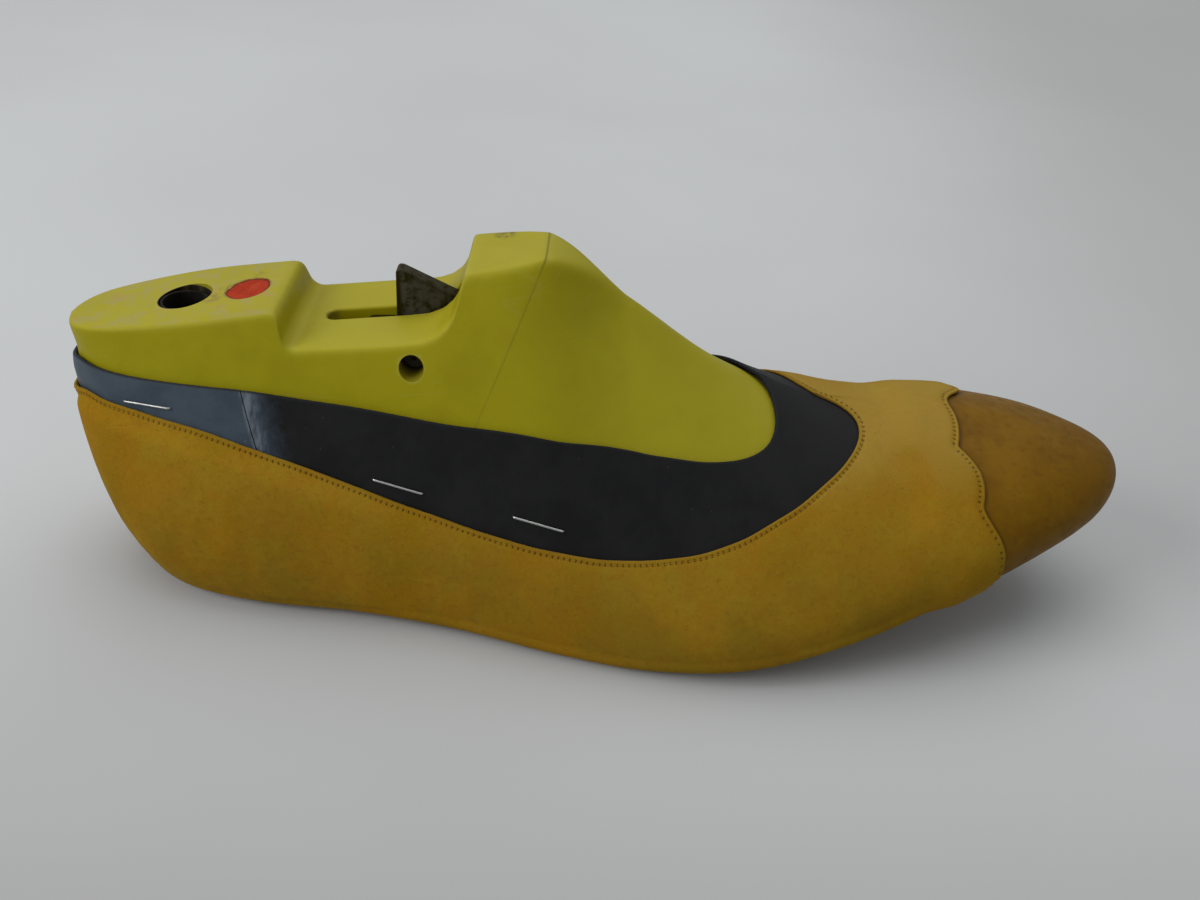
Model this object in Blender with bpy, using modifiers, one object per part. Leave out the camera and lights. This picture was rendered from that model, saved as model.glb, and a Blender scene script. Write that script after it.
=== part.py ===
"""Two-part plastic cobbler last with a lasted pump upper: a right last with its lock lever,
slide and pins, and the lining, stiffeners, upper, toe cap and staples that are stretched over it.
Sizes are in millimetres from the heel back; the mesh data is written in metres."""
import math
import bpy
import bmesh
import numpy as np

MM = 0.001

# Overall sizes of the bare last, and the sizes that the stations below are written at
LAST_LENGTH = 258.0
LAST_WIDTH = 80.0
LAST_HEIGHT = 88.9
DRAWN_LENGTH = 258.0
DRAWN_WIDTH = 80.0
DRAWN_HEIGHT = 88.9

# Layers around the last. Margins are folded under the insole; ends and laps are shares of the
# way from heel back to toe tip, and the drop is a share of the wall's height
FIT_GAP = 0.3
LINING_GAP = 0.5
UPPER_GAP = 0.5
LINING_THICK = 0.8
STIFFENER_THICK = 0.8
UPPER_THICK = 1.1
INSOLE_THICK = 2.0
BOTTOM_CROWN = 1.5
CROWD = 2.5
UPPER_MARGIN = 10.0
CAP_MARGIN = 8.0
LINING_MARGIN = 6.0
LINING_JOIN = 0.268
COUNTER_END = 0.30
COUNTER_DROP = 0.11
PUFF_START = 0.80
CAP_LAP = 0.028

# The diagonal cut between heel block and forepart, and how far the block slides along it
CUT_FOOT_X = 81.5
CUT_ANGLE = math.radians(21.8)
CUT_GAP = 0.4

# Lock lever, its cross pin and its travel
PIVOT_X = 87.7
PIVOT_Z = 65.0
PIN_R = 1.5
PIN_FIT = 0.3
LEVER_PIN_R = 2.55
LEVER_PIN_SET = 5.0
PIN_SET = 2.0
LEVER_THICK = 4.0
LEVER_ARM = 12.0
LEVER_NOSE_R = 1.6
LEVER_HUB_R = 5.6
LEVER_REAR = 6.0
LEVER_TIP = 9.1
LEVER_TIP_DROP = 6.2
LEVER_EDGE = 0.45
LEVER_SWING = math.radians(45.0)
LEVER_PLAY = 1.2
LEVER_RISE = 15.6
SLOT_PLAY = 0.5
SLOT_REAR = 22.9
SLOT_FRONT = 9.9

# Guide plate that joins the two blocks
PLATE_HEIGHT = 16.0
PLATE_REAR = 12.0
PLATE_FRONT = 46.0
PLATE_FIT = 0.35
DOWEL_PLACES = (28.0, 40.0)

# Heel plate top: thimble, size plug; saddle and step
HEEL_AXIS_Y = 1.0
THIMBLE_X = 30.5
THIMBLE_BORE_R = 6.2
THIMBLE_WALL = 0.7
THIMBLE_DEPTH = 36.0
THIMBLE_SINK = 1.2
PLUG_X = 45.9
PLUG_R = 5.7
PLUG_DEPTH = 9.0
STEP_X = 56.6
STEP_Z = 74.1
HEEL_TOP_SLOPE = 0.205
SADDLE_DROP = 8.5
CONE_X = 98.8
CONE_Z = 85.2
CONE_TOP_SLOPE = 0.19

# Steel heel plate under the heel block, and its nails
PLATE_INSET = 5.0
HEEL_PLATE_THICK = 1.2
HEEL_PLATE_END = 66.0
NAIL_R = 1.2
NAIL_LENGTH = 9.0

# Insole, shank and tacks
SHANK_START = 38.0
SHANK_END = 122.0
SHANK_WIDTH = 9.0
SHANK_THICK = 0.9
RIVET_R = 2.2
RIVET_HEAD = 0.6
TACK_R = 0.7
TACK_HEAD_R = 1.7
TACK_HEAD = 0.6
TACK_LENGTH = 7.0
TACK_POINT = 1.4

# Staples that hold the lining to the last
STAPLE_CROWN = 12.7
STAPLE_WIRE = 0.55
STAPLE_LEG = 4.0
STAPLE_FIT = 0.1
STAPLE_LIFT = 0.15

# Reach of the cutting tools past what they cut: above the last, behind it, below its underside
REACH_UP = 150.0
REACH_BACK = 20.0
REACH_DOWN = 6.0

# Stations from heel back to toe tip. Feather edge: x, lateral y, medial y, lateral z, medial z,
# bulge out of the lateral and medial wall, bulge up. Top: x, y, half width, z, out, down.
STATIONS = np.array([
    [18.0, 0.0, 0.0, 5.0, 5.0, 14.0, 14.0, 16, 2.7, 0.5, 0.0, 62.5, -4.7, 19],
    [21.5, 13.0, 13.0, 5.0, 5.0, 10.3, 10.3, 16, 5.5, 0.7, 8.0, 63.5, -3.4, 19],
    [32.0, 22.0, 22.0, 5.0, 5.0, 7, 7, 15, 15.0, 0.9, 12.6, 65.8, 1.5, 19],
    [50.0, 26.5, 26.0, 5.0, 5.5, 6, 5, 16, 34.0, 1.3, 15.0, 70.3, 6, 20],
    [75.0, 28.5, 25.5, 5.3, 7.5, 5, 4, 18, 60.0, 0.3, 14.2, 75.2, 8, 20],
    [100.0, 32.5, 22.5, 5.0, 9.0, 5, 7, 20, 87.0, 0.0, 12.5, 83.0, 10, 22],
    [125.0, 38.5, 22.5, 4.2, 7.5, 5, 9, 20, 115.0, 0.0, 8.5, 88.9, 12, 22],
    [148.0, 43.0, 29.0, 4.7, 6.0, 4, 8, 18, 136.0, 0.0, 0.0, 78.2, 12, 12],
    [171.0, 44.0, 36.0, 7.8, 8.0, 3, 5, 15, 160.0, 1.5, 0.0, 60.5, 16, 5],
    [194.0, 39.5, 38.0, 14.0, 14.0, 3, 3, 12, 185.0, 4.0, 0.0, 49.2, 20, 2],
    [218.0, 30.0, 35.0, 21.5, 21.0, 3, 3, 11, 210.0, 6.0, 0.0, 45.5, 18, 1.5],
    [240.0, 17.5, 27.5, 26.9, 26.4, 3, 3, 9.5, 231.0, 6.5, 0.0, 43.7, 14, 2.2],
    [254.5, 5.5, 16.5, 29.6, 29.8, 3, 3, 7.5, 243.5, 6.7, 0.0, 40.6, 9, 2.4],
    [259.3, -6.3, 6.3, 30.6, 30.6, 3, 3, 6.5, 249.8, 6.6, 0.0, 38.7, 6, 1.8],
])
KNOTS = np.linspace(0, 1, len(STATIONS))
SIDEWAYS = (1, 2, 10)
X_SCALE = LAST_LENGTH / DRAWN_LENGTH
Y_SCALE = LAST_WIDTH / DRAWN_WIDTH
Z_SCALE = LAST_HEIGHT / DRAWN_HEIGHT
SCALES = {0: X_SCALE, 8: X_SCALE, 3: Z_SCALE, 4: Z_SCALE, 7: Z_SCALE, 11: Z_SCALE, 13: Z_SCALE}
for column in range(STATIONS.shape[1]):
    STATIONS[:, column] *= SCALES.get(column, Y_SCALE)

# Directions in the x-z plane: along the cut (the way the heel block rises) and across it
ALONG = np.array([math.sin(CUT_ANGLE), math.cos(CUT_ANGLE)])
ACROSS = np.array([math.cos(CUT_ANGLE), -math.sin(CUT_ANGLE)])
PIVOT = np.array([PIVOT_X * X_SCALE, PIVOT_Z * Z_SCALE])
RISE = LEVER_ARM * (math.sin(CUT_ANGLE + LEVER_SWING) - math.sin(CUT_ANGLE))


def smooth(x, low, high):
    s = np.clip((x - low) / (high - low), 0, 1)
    return s * s * (3 - 2 * s)


def station(t, column):
    """Cubic curve through one column of the stations, with tangents from the neighbours."""
    v = STATIONS[:, column]
    h = KNOTS[1] - KNOTS[0]
    slope = np.diff(v) / h
    m = np.empty_like(v)
    m[1:-1] = (slope[:-1] + slope[1:]) / 2
    swings = column in SIDEWAYS
    m[0] = slope[0] if swings else 0
    m[-1] = slope[-1] if swings else 0
    t = np.clip(t, 0, 1)
    i = np.clip((t / h).astype(int), 0, len(v) - 2)
    s = (t - KNOTS[i]) / h
    return ((1 + 2 * s) * (1 - s) ** 2 * v[i] + s * (1 - s) ** 2 * h * m[i]
            + s * s * (3 - 2 * s) * v[i + 1] + s * s * (s - 1) * h * m[i + 1])


def fold(side, t):
    """Past the heel back or the toe tip the ring carries on down the other side."""
    t = np.asarray(t, float)
    side = np.broadcast_to(np.asarray(side, float), t.shape)
    other = (t < 0) | (t > 1)
    side = np.where(other, -side, side)
    t = np.where(t < 0, -t, t)
    return side, np.where(t > 1, 2 - t, t)


def feather(side, t):
    """Edge between wall and bottom of the last; side -1 is lateral, +1 medial."""
    side, t = fold(side, t)
    y = np.where(side < 0, -station(t, 1), station(t, 2))
    z = np.where(side < 0, station(t, 3), station(t, 4))
    return np.stack([station(t, 0), y, z], -1)


def top_edge(side, t):
    """Edge of the top face, or the ridge of the instep where the half width is nought."""
    side, t = fold(side, t)
    y = station(t, 9) + side * np.maximum(station(t, 10), 0)
    return np.stack([station(t, 8), y, station(t, 11)], -1)


def plan_normal(side, t):
    """Level direction that points out of the feather edge."""
    step = 0.006
    d = feather(side, t + step) - feather(side, t - step)
    sign = np.broadcast_to(np.asarray(side, float), np.shape(t))[..., None]
    n = np.stack([-d[..., 1], d[..., 0], np.zeros_like(d[..., 0])], -1) * sign
    return n / np.linalg.norm(n, axis=-1, keepdims=True)


def wall(side, t, g):
    """Bezier meridian of the last's side from the feather edge, g 0, to the top edge, g 1."""
    t = np.asarray(t, float)
    low = feather(side, t)
    high = top_edge(side, t)
    n = plan_normal(side, t)
    s, tt = fold(side, t)
    out = np.where(s < 0, station(tt, 5), station(tt, 6))[..., None]
    up = np.array([0, 0, 1.0])
    p1 = low + n * out + up * station(tt, 7)[..., None]
    p2 = high + n * station(tt, 12)[..., None] - up * station(tt, 13)[..., None]
    g = np.asarray(g, float)[..., None]
    return (1 - g) ** 3 * low + 3 * g * (1 - g) ** 2 * p1 + 3 * g * g * (1 - g) * p2 + g ** 3 * high


def wall_normal(side, t, g):
    """Unit normal of the wall, from small steps along and across it. At the toe tip the meridians
    meet, so it is read a little below their meeting point."""
    step = 0.004
    g = np.minimum(g, 1 - 0.03 * smooth(t, 0.96, 1))
    a = wall(side, t + step, g) - wall(side, t - step, g)
    b = wall(side, t, np.clip(g + step, 0, 1)) - wall(side, t, np.clip(g - step, 0, 1))
    n = np.cross(a, b) * -np.broadcast_to(np.asarray(side, float), np.shape(t))[..., None]
    return n / np.maximum(np.linalg.norm(n, axis=-1, keepdims=True), 1e-9)


def bottom_z(x, y):
    """Height of the last's underside, slightly crowned between its feather edges."""
    t = np.interp(x, station(np.linspace(0, 1, 201), 0), np.linspace(0, 1, 201))
    lat = station(t, 1)
    span = np.maximum(lat + station(t, 2), 1.0)
    w = np.clip((y + lat) / span, 0, 1)
    zl = station(t, 3)
    zm = station(t, 4)
    full = np.minimum(span / (40.0 * Y_SCALE), 1.0)
    return zl + (zm - zl) * w - BOTTOM_CROWN * full * 4 * w * (1 - w)


def skin(side, t, g, d, margin):
    """Point at distance d off the lasted shape: g 0..1 up the wall, g -1..0 round the insole's
    edge, g -2..-1 along the margin folded under the insole."""
    side = np.broadcast_to(np.asarray(side, float), np.shape(t))
    t, g, d = np.broadcast_arrays(np.asarray(t, float), np.asarray(g, float), np.asarray(d, float))
    high = np.clip(g, 0, 1)
    p = wall(side, t, high) + wall_normal(side, t, high) * d[..., None]
    n = plan_normal(side, t)
    edge = feather(side, t)
    drop = INSOLE_THICK + FIT_GAP
    turn = np.clip((-g - 0.4) / 0.6, 0, 1)[..., None] * math.pi / 2
    down = np.clip(-g / 0.4, 0, 1)[..., None] * drop
    up = np.array([0, 0, 1.0])
    blend = np.clip(-g / 0.4, 0, 1)[..., None]
    start = wall_normal(side, t, np.zeros_like(t)) * (1 - blend) + n * blend
    start = start / np.linalg.norm(start, axis=-1, keepdims=True)
    round_edge = edge - up * down + (start * np.cos(turn) - up * np.sin(turn)) * d[..., None]
    p = np.where(g[..., None] < 0, round_edge, p)
    inward = edge - n * (np.clip(-g - 1, 0, 1) * margin)[..., None]
    z = bottom_z(inward[..., 0], inward[..., 1]) - drop - d
    flat = np.stack([inward[..., 0], inward[..., 1], z], -1)
    flat[..., 2] = np.where(g < -1, flat[..., 2], 0)
    return np.where(g[..., None] < -1, flat, p)


def clear_scene():
    for ob in list(bpy.data.objects):
        bpy.data.objects.remove(ob, do_unlink=True)


def material(name, colour, roughness, metallic=0.0):
    mat = bpy.data.materials.new(name)
    mat.use_nodes = True
    shader = mat.node_tree.nodes["Principled BSDF"]
    shader.inputs["Base Color"].default_value = (*colour, 1.0)
    shader.inputs["Roughness"].default_value = roughness
    shader.inputs["Metallic"].default_value = metallic
    return mat


def make_mesh(name, points, faces):
    """Mesh in metres with every face turned outwards."""
    mesh = bpy.data.meshes.new(name)
    mesh.from_pydata((np.asarray(points, float) * MM).tolist(), [], faces)
    bm = bmesh.new()
    bm.from_mesh(mesh)
    bmesh.ops.recalc_face_normals(bm, faces=bm.faces)
    bm.to_mesh(mesh)
    bm.free()
    return mesh


def add_mesh(name, points, faces, mat, home=(0, 0, 0)):
    """New object with its origin at home; points are in the last's own millimetres."""
    mesh = make_mesh(name, np.asarray(points, float) - np.asarray(home, float), faces)
    mesh.materials.append(mat)
    ob = bpy.data.objects.new(name, mesh)
    ob.location = [c * MM for c in home]
    ob.parent = FRAME
    PARTS.objects.link(ob)
    return ob


def cutter(name, points, faces):
    """Boolean tool, kept out of the render in its own collection."""
    mesh = make_mesh(name, points, faces)
    ob = bpy.data.objects.new(name, mesh)
    ob.hide_render = True
    ob.display_type = "WIRE"
    ob.parent = FRAME
    CUTTERS.objects.link(ob)
    return ob


def cut(ob, tool):
    mod = ob.modifiers.new(tool.name, "BOOLEAN")
    mod.operation = "DIFFERENCE"
    mod.solver = "EXACT"
    mod.object = tool


def round_edges(ob, width):
    mod = ob.modifiers.new("edges", "BEVEL")
    mod.width = width * MM
    mod.segments = 2
    mod.limit_method = "ANGLE"
    mod.angle_limit = math.radians(50)


def prism(outline, y0, y1):
    """Outline in x and z, given anticlockwise as seen from the lateral side, drawn out along y."""
    n = len(outline)
    points = [(x, y0, z) for x, z in outline] + [(x, y1, z) for x, z in outline]
    faces = [tuple(range(n)), tuple(range(2 * n - 1, n - 1, -1))]
    for i in range(n):
        j = (i + 1) % n
        faces.append((j, i, n + i, n + j))
    return points, faces


def tube(base, axis, radius, length, bore=0.0, count=20):
    """Cylinder, or ring with a bore, from base along axis."""
    axis = np.asarray(axis, float) / np.linalg.norm(axis)
    side = np.cross(axis, [0, 1, 0] if abs(axis[1]) < 0.9 else [1, 0, 0])
    side /= np.linalg.norm(side)
    other = np.cross(axis, side)
    angle = np.arange(count) * 2 * math.pi / count
    ring = np.cos(angle)[:, None] * side + np.sin(angle)[:, None] * other
    base = np.asarray(base, float)
    rings = [base + ring * radius, base + ring * radius + axis * length]
    if bore:
        rings += [base + ring * bore + axis * length, base + ring * bore]
    points = np.concatenate(rings)
    faces = []
    total = len(rings)
    for k in range(total if bore else 1):
        a = k * count
        b = (k + 1) % total * count
        for i in range(count):
            j = (i + 1) % count
            faces.append((a + i, a + j, b + j, b + i))
    if not bore:
        faces.append(tuple(range(count - 1, -1, -1)))
        faces.append(tuple(range(count, 2 * count)))
    return points, faces


def weld(points, faces):
    """Joins points in the same place and drops the faces that vanish."""
    keys = {}
    index = []
    kept = []
    for p in points:
        key = tuple(np.round(p, 4))
        if key not in keys:
            keys[key] = len(kept)
            kept.append(p)
        index.append(keys[key])
    clean = []
    for f in faces:
        ring = [index[i] for i in f]
        ring = [a for k, a in enumerate(ring) if a != ring[k - 1]]
        if len(set(ring)) > 2:
            clean.append(tuple(ring))
    return kept, clean


def ring_steps(start, finish, count):
    """Stations between two, closer together near the heel back and the toe tip."""
    s = np.linspace(0, 1, 400)
    t = start + (finish - start) * s
    crowd = 1 + CROWD * (np.exp(-t / 0.06) + np.exp((t - 1) / 0.05))
    run = np.concatenate([[0], np.cumsum((crowd[1:] + crowd[:-1]) / 2)])
    return np.interp(np.linspace(0, run[-1], count), run, t)


def row_steps(count):
    """Heights g from feather edge to top edge, closer together near the ridge."""
    return 1 - (1 - np.linspace(0, 1, count)) ** 1.25


def last_solid(columns=50, rows=13, across=4):
    """Whole last as one closed loft: two walls, the top face and the crowned underside."""
    t = ring_steps(0, 1, columns)
    points = []
    rings = []
    for i in range(columns):
        g = row_steps(rows)
        lat = wall(-1, np.full(rows, t[i]), g)
        med = wall(1, np.full(rows, t[i]), g[::-1])
        w = np.linspace(1, 0, across + 2)[1:-1]
        a = feather(-1, np.array(t[i]))
        b = feather(1, np.array(t[i]))
        y = a[1] + (b[1] - a[1]) * w
        x = np.full(across, a[0])
        under = np.stack([x, y, bottom_z(x, y)], -1)
        ring = np.concatenate([lat, med, under])
        points.extend(ring)
        rings.append(len(ring))
    n = rings[0]
    faces = []
    for i in range(columns - 1):
        for j in range(n):
            k = (j + 1) % n
            faces.append((i * n + j, i * n + k, (i + 1) * n + k, (i + 1) * n + j))
    return weld(points, faces)


def sheet(name, patches, low, high, margin, mat):
    """Closed sheet between the distances low and high off the last. Each patch is a side and a
    grid of (t, g) places; low and high are functions of side, t and g."""
    store = {}
    inner = []
    outer = []
    faces = []
    for side, t, g in patches:
        a = skin(side, t, g, low(side, t, g), margin)
        b = skin(side, t, g, high(side, t, g), margin)
        key_point = skin(side, t, g, np.zeros_like(t), margin)
        index = np.empty(t.shape, int)
        for i in range(t.shape[0]):
            for j in range(t.shape[1]):
                key = tuple(np.round(key_point[i, j], 2)) + (round(float(g[i, j]), 3),)
                if key not in store:
                    store[key] = len(inner)
                    inner.append([])
                    outer.append([])
                index[i, j] = store[key]
                inner[store[key]].append(a[i, j])
                outer[store[key]].append(b[i, j])
        for i in range(t.shape[0] - 1):
            for j in range(t.shape[1] - 1):
                ring = [index[i, j], index[i + 1, j], index[i + 1, j + 1], index[i, j + 1]]
                if side > 0:
                    ring.reverse()
                ring = [v for k, v in enumerate(ring) if v != ring[k - 1]]
                if len(set(ring)) > 2:
                    faces.append(tuple(ring))
    count = len(inner)
    points = [np.mean(p, 0) for p in inner] + [np.mean(p, 0) for p in outer]
    used = {}
    for f in faces:
        for k, v in enumerate(f):
            edge = (f[k - 1], v)
            used[edge] = used.get(edge, 0) + 1
    solid = [tuple(v + count for v in f) for f in faces]
    solid += [tuple(reversed(f)) for f in faces]
    for a, b in used:
        if (b, a) not in used:
            solid.append((b + count, a + count, a, b))
    return add_mesh(name, points, solid, mat)


def with_margin(t, g, places=(-2.0, -1.5, -1.0, -0.7, -0.4)):
    """Adds the places round the insole's edge and under it to a grid that starts at g 0."""
    add = np.array(places)
    t2 = np.repeat(t[:, :1], len(add), 1)
    g2 = np.broadcast_to(add, t2.shape)
    return np.concatenate([t2, t], 1), np.concatenate([g2, g], 1)


# Edges in (t, g): topline of the lining, topline of the upper, seam of the toe cap
LINING_TOP = ((0.0, 0.90), (0.06, 0.895), (0.11, 0.86), (0.145, 0.835), (0.20, 0.80),
              (0.24, 0.775), (0.268, 0.757), (0.307, 0.710), (0.372, 0.637), (0.405, 0.607),
              (0.478, 0.562), (0.547, 0.556), (0.588, 0.585), (0.618, 0.630), (0.633, 0.680),
              (0.642, 0.745), (0.646, 0.820), (0.648, 0.910), (0.648, 1.0))
UPPER_TOP = ((0.0, 0.80), (0.06, 0.797), (0.105, 0.785), (0.128, 0.75), (0.175, 0.705),
             (0.235, 0.640), (0.273, 0.565), (0.315, 0.485), (0.360, 0.405), (0.408, 0.345),
             (0.450, 0.315), (0.500, 0.303), (0.540, 0.315), (0.578, 0.350), (0.615, 0.415),
             (0.655, 0.520), (0.688, 0.655), (0.702, 0.745), (0.710, 0.830), (0.713, 0.915),
             (0.714, 1.0))
CAP_SEAM = ((0.806, 0.0), (0.806, 0.06), (0.803, 0.18), (0.796, 0.285), (0.788, 0.375),
            (0.791, 0.45), (0.791, 0.55), (0.788, 0.65), (0.783, 0.735), (0.790, 0.855),
            (0.796, 0.94), (0.800, 1.0))


def resample(edge, count):
    """Places spread evenly along an edge."""
    edge = np.asarray(edge, float)
    run = np.concatenate([[0], np.cumsum(np.hypot(*(np.diff(edge, axis=0) * [2.6, 1.0]).T))])
    s = np.linspace(0, run[-1], count)
    return np.stack([np.interp(s, run, edge[:, 0]), np.interp(s, run, edge[:, 1])], -1)


def edge_height(edge, t):
    """Height g of a topline at station t."""
    edge = np.asarray(edge)
    return np.interp(t, edge[:, 0], edge[:, 1])


def seam_place(g):
    """Station t of the toe cap's seam at height g."""
    edge = np.asarray(CAP_SEAM)
    return np.interp(np.clip(g, 0, 1), edge[:, 1], edge[:, 0])


def rim_patches(edge, first, last_, columns, rows, bottom_end=None):
    """Patches of both sides under a topline, from station first to station last_."""
    run = resample(edge, 400)
    keep = run[(run[:, 0] >= first) & (run[:, 0] <= last_ + 1e-9)]
    crowd = 1 + CROWD * np.exp(-keep[:, 0] / 0.06)
    place = np.cumsum(crowd) - crowd[0]
    top = keep[np.interp(np.linspace(0, place[-1], columns), place, np.arange(len(keep))).astype(int)]
    top[0, 0] = first
    top[0, 1] = edge_height(edge, first)
    if bottom_end is None:
        bottom_end = last_
    low = np.stack([first + (top[:, 0] - first) * (bottom_end - first) / (last_ - first),
                    np.zeros(columns)], -1)
    s = row_steps(rows)
    t = low[:, None, 0] + (top[:, None, 0] - low[:, None, 0]) * s
    g = top[:, None, 1] * s
    return [(side, *with_margin(t, g)) for side in (-1, 1)]


def closed_patches(start, finish, columns, rows):
    """Patches of both sides that meet on the ridge, between two columns t(g)."""
    g = row_steps(rows)
    ends = start(g).mean(), finish(g).mean()
    s = ((ring_steps(*ends, columns) - ends[0]) / (ends[1] - ends[0]))[:, None]
    t = start(g)[None, :] * (1 - s) + finish(g)[None, :] * s
    g = np.broadcast_to(g, t.shape)
    return [(side, *with_margin(t, g)) for side in (-1, 1)]


LINING_OUT = LINING_GAP + LINING_THICK
STIFF_IN = LINING_OUT + UPPER_GAP
STIFF_OUT = STIFF_IN + STIFFENER_THICK
UPPER_STEP = STIFFENER_THICK + FIT_GAP


def even(value):
    """Distance off the last that is the same all over."""
    return lambda side, t, g: np.full(np.shape(t), value)


def stiff_zone(t, g):
    """1 where a stiffener lies under the upper, 0 where there is none."""
    heel = 1 - smooth(t, COUNTER_END + 0.01, COUNTER_END + 0.07)
    top = edge_height(UPPER_TOP, t)
    heel = heel * (1 - smooth(g, top - COUNTER_DROP + 0.02, top - 0.02))
    toe = smooth(t, PUFF_START - 0.07, PUFF_START - 0.01)
    return np.maximum(heel, toe) * smooth(g, -0.35, 0.0)


def cap_low(side, t, g):
    return STIFF_IN + UPPER_STEP * stiff_zone(t, g)


def cap_high(side, t, g):
    return cap_low(side, t, g) + UPPER_THICK


def upper_low(side, t, g):
    """The upper's edge climbs over the toe cap where the two lap."""
    lap = seam_place(g) - CAP_LAP
    return cap_low(side, t, g) + (UPPER_THICK + FIT_GAP) * smooth(t, lap - 0.034, lap - 0.006)


def upper_high(side, t, g):
    return upper_low(side, t, g) + UPPER_THICK


def uv(u, v):
    """Place on the guide plate: u across the cut, v along it, from the plate's middle."""
    x, z = PLATE_MIDDLE + u * ACROSS + v * ALONG
    return x, z


def arc(x, z, radius, first, last_, count):
    """Places on an arc, angles in degrees."""
    angle = np.radians(np.linspace(first, last_, count))
    return [(x + radius * math.cos(a), z + radius * math.sin(a)) for a in angle]


def cut_x(z):
    return CUT_FOOT_X * X_SCALE + z * math.tan(CUT_ANGLE)


def wall_y(side, x, z):
    """Distance of the last's wall from the middle plane at a place seen from the side."""
    t, g = np.meshgrid(np.linspace(0.02, 0.98, 97), np.linspace(0, 1, 41), indexing="ij")
    p = wall(side, t, g)
    near = np.argmin((p[..., 0] - x) ** 2 + (p[..., 2] - z) ** 2)
    return abs(float(p[..., 1].ravel()[near]))


def lathe(base, axis, profile, count=24):
    """Solid turned about an axis: profile lists (radius, height) from the axis back to it."""
    axis = np.asarray(axis, float) / np.linalg.norm(axis)
    side = np.cross(axis, [0, 1, 0] if abs(axis[1]) < 0.9 else [1, 0, 0])
    side /= np.linalg.norm(side)
    other = np.cross(axis, side)
    angle = np.arange(count) * 2 * math.pi / count
    ring = np.cos(angle)[:, None] * side + np.sin(angle)[:, None] * other
    points = np.concatenate([np.asarray(base, float) + ring * r + axis * h for r, h in profile])
    faces = []
    for k in range(len(profile) - 1):
        for i in range(count):
            j = (i + 1) % count
            a = k * count
            faces.append((a + i, a + j, a + count + j, a + count + i))
    return weld(points, faces)


def pad(inset, t_end, low, high, columns, across=6):
    """Solid that follows the underside, inset from the feather edge, between two heights."""
    t = ring_steps(0, t_end, columns)
    lat = feather(-1, t) - plan_normal(-1, t) * inset
    med = feather(1, t) - plan_normal(1, t) * inset
    w = np.linspace(0, 1, across + 1)
    flat = lat[:, None, :] * (1 - w)[None, :, None] + med[:, None, :] * w[None, :, None]
    z = bottom_z(flat[..., 0], flat[..., 1])
    layers = []
    for offset in (low, high):
        layer = flat.copy()
        layer[..., 2] = z + offset
        layers.append(layer.reshape(-1, 3))
    points = np.concatenate(layers)
    n = across + 1
    size = columns * n
    faces = []
    for i in range(columns - 1):
        for j in range(across):
            a = i * n + j
            faces.append((a, a + 1, a + n + 1, a + n))
            faces.append((size + a, size + a + n, size + a + n + 1, size + a + 1))
    rim = [i * n for i in range(columns)] + [(columns - 1) * n + j for j in range(1, n)]
    rim += [i * n + across for i in range(columns - 2, -1, -1)] + list(range(across - 1, 0, -1))
    for a, b in zip(rim, rim[1:] + rim[:1]):
        faces.append((a, a + size, b + size, b))
    return weld(points, faces)


def bottom_up(x, y):
    """Height of the underside at a place and the direction square to it."""
    step = 2.0
    x = np.array([x, x + step, x - step, x, x], float)
    y = np.array([y, y, y, y + step, y - step], float)
    z = bottom_z(x, y)
    up = np.array([(z[2] - z[1]) / (2 * step), (z[4] - z[3]) / (2 * step), 1.0])
    return np.array([x[0], y[0], z[0]]), up / np.linalg.norm(up)


def strip(x0, x1, width, low, high, columns=18):
    """Flat bar that follows the underside along the middle of the last."""
    x = np.linspace(x0, x1, columns)
    points = []
    for offset in (low, high):
        for y in (-width / 2, width / 2):
            z = bottom_z(x, np.full(columns, y))
            points.append(np.stack([x, np.full(columns, y), z + offset], -1))
    a, b, c, d = [np.arange(columns) + k * columns for k in range(4)]
    faces = [(a[0], b[0], d[0], c[0]), (a[-1], c[-1], d[-1], b[-1])]
    for i in range(columns - 1):
        for p, q in ((b, a), (a, c), (c, d), (d, b)):
            faces.append((p[i], q[i], q[i + 1], p[i + 1]))
    return np.concatenate(points), faces


def top_profile():
    """Outline above the last's top: heel plate, step, saddle, ramp and cone top."""
    step = STEP_X * X_SCALE
    floor_z = STEP_Z * Z_SCALE - SADDLE_DROP
    back = -REACH_BACK * X_SCALE
    front = REACH_UP * X_SCALE
    line = [(back, plate_z(back)), (step, plate_z(step))]
    line += [(step + 0.9, floor_z + 2.6), (step + 1.9, floor_z + 1.2), (step + 3.4, floor_z + 0.5)]
    line += [(PIVOT[0] - 3.0, floor_z + 4.0), (PIVOT[0] + 2.0, floor_z + 4.9)]
    line += [(PIVOT[0] + 5.5, floor_z + 6.6), (PIVOT[0] + 8.0, floor_z + 9.2)]
    line += [(PIVOT[0] + 9.4, floor_z + 12.2)]
    cone_end = CONE_Z + CONE_TOP_SLOPE * (REACH_UP - CONE_X)
    line += [(CONE_X * X_SCALE, CONE_Z * Z_SCALE), (front, cone_end * Z_SCALE)]
    high = (REACH_UP + 10.0) * Z_SCALE
    return line + [(front, high), (back, high)]


def cut_side(sign):
    """Everything on one side of the cut: +1 takes away the forepart side, -1 the heel side."""
    gap = CUT_GAP / 2 / math.cos(CUT_ANGLE)
    low = -2 * REACH_BACK
    high = REACH_UP + 50.0
    far = 2 * LAST_LENGTH * sign
    return [(cut_x(low) - sign * gap, low), (far, low), (far, high), (cut_x(high) - sign * gap, high)]


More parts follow.
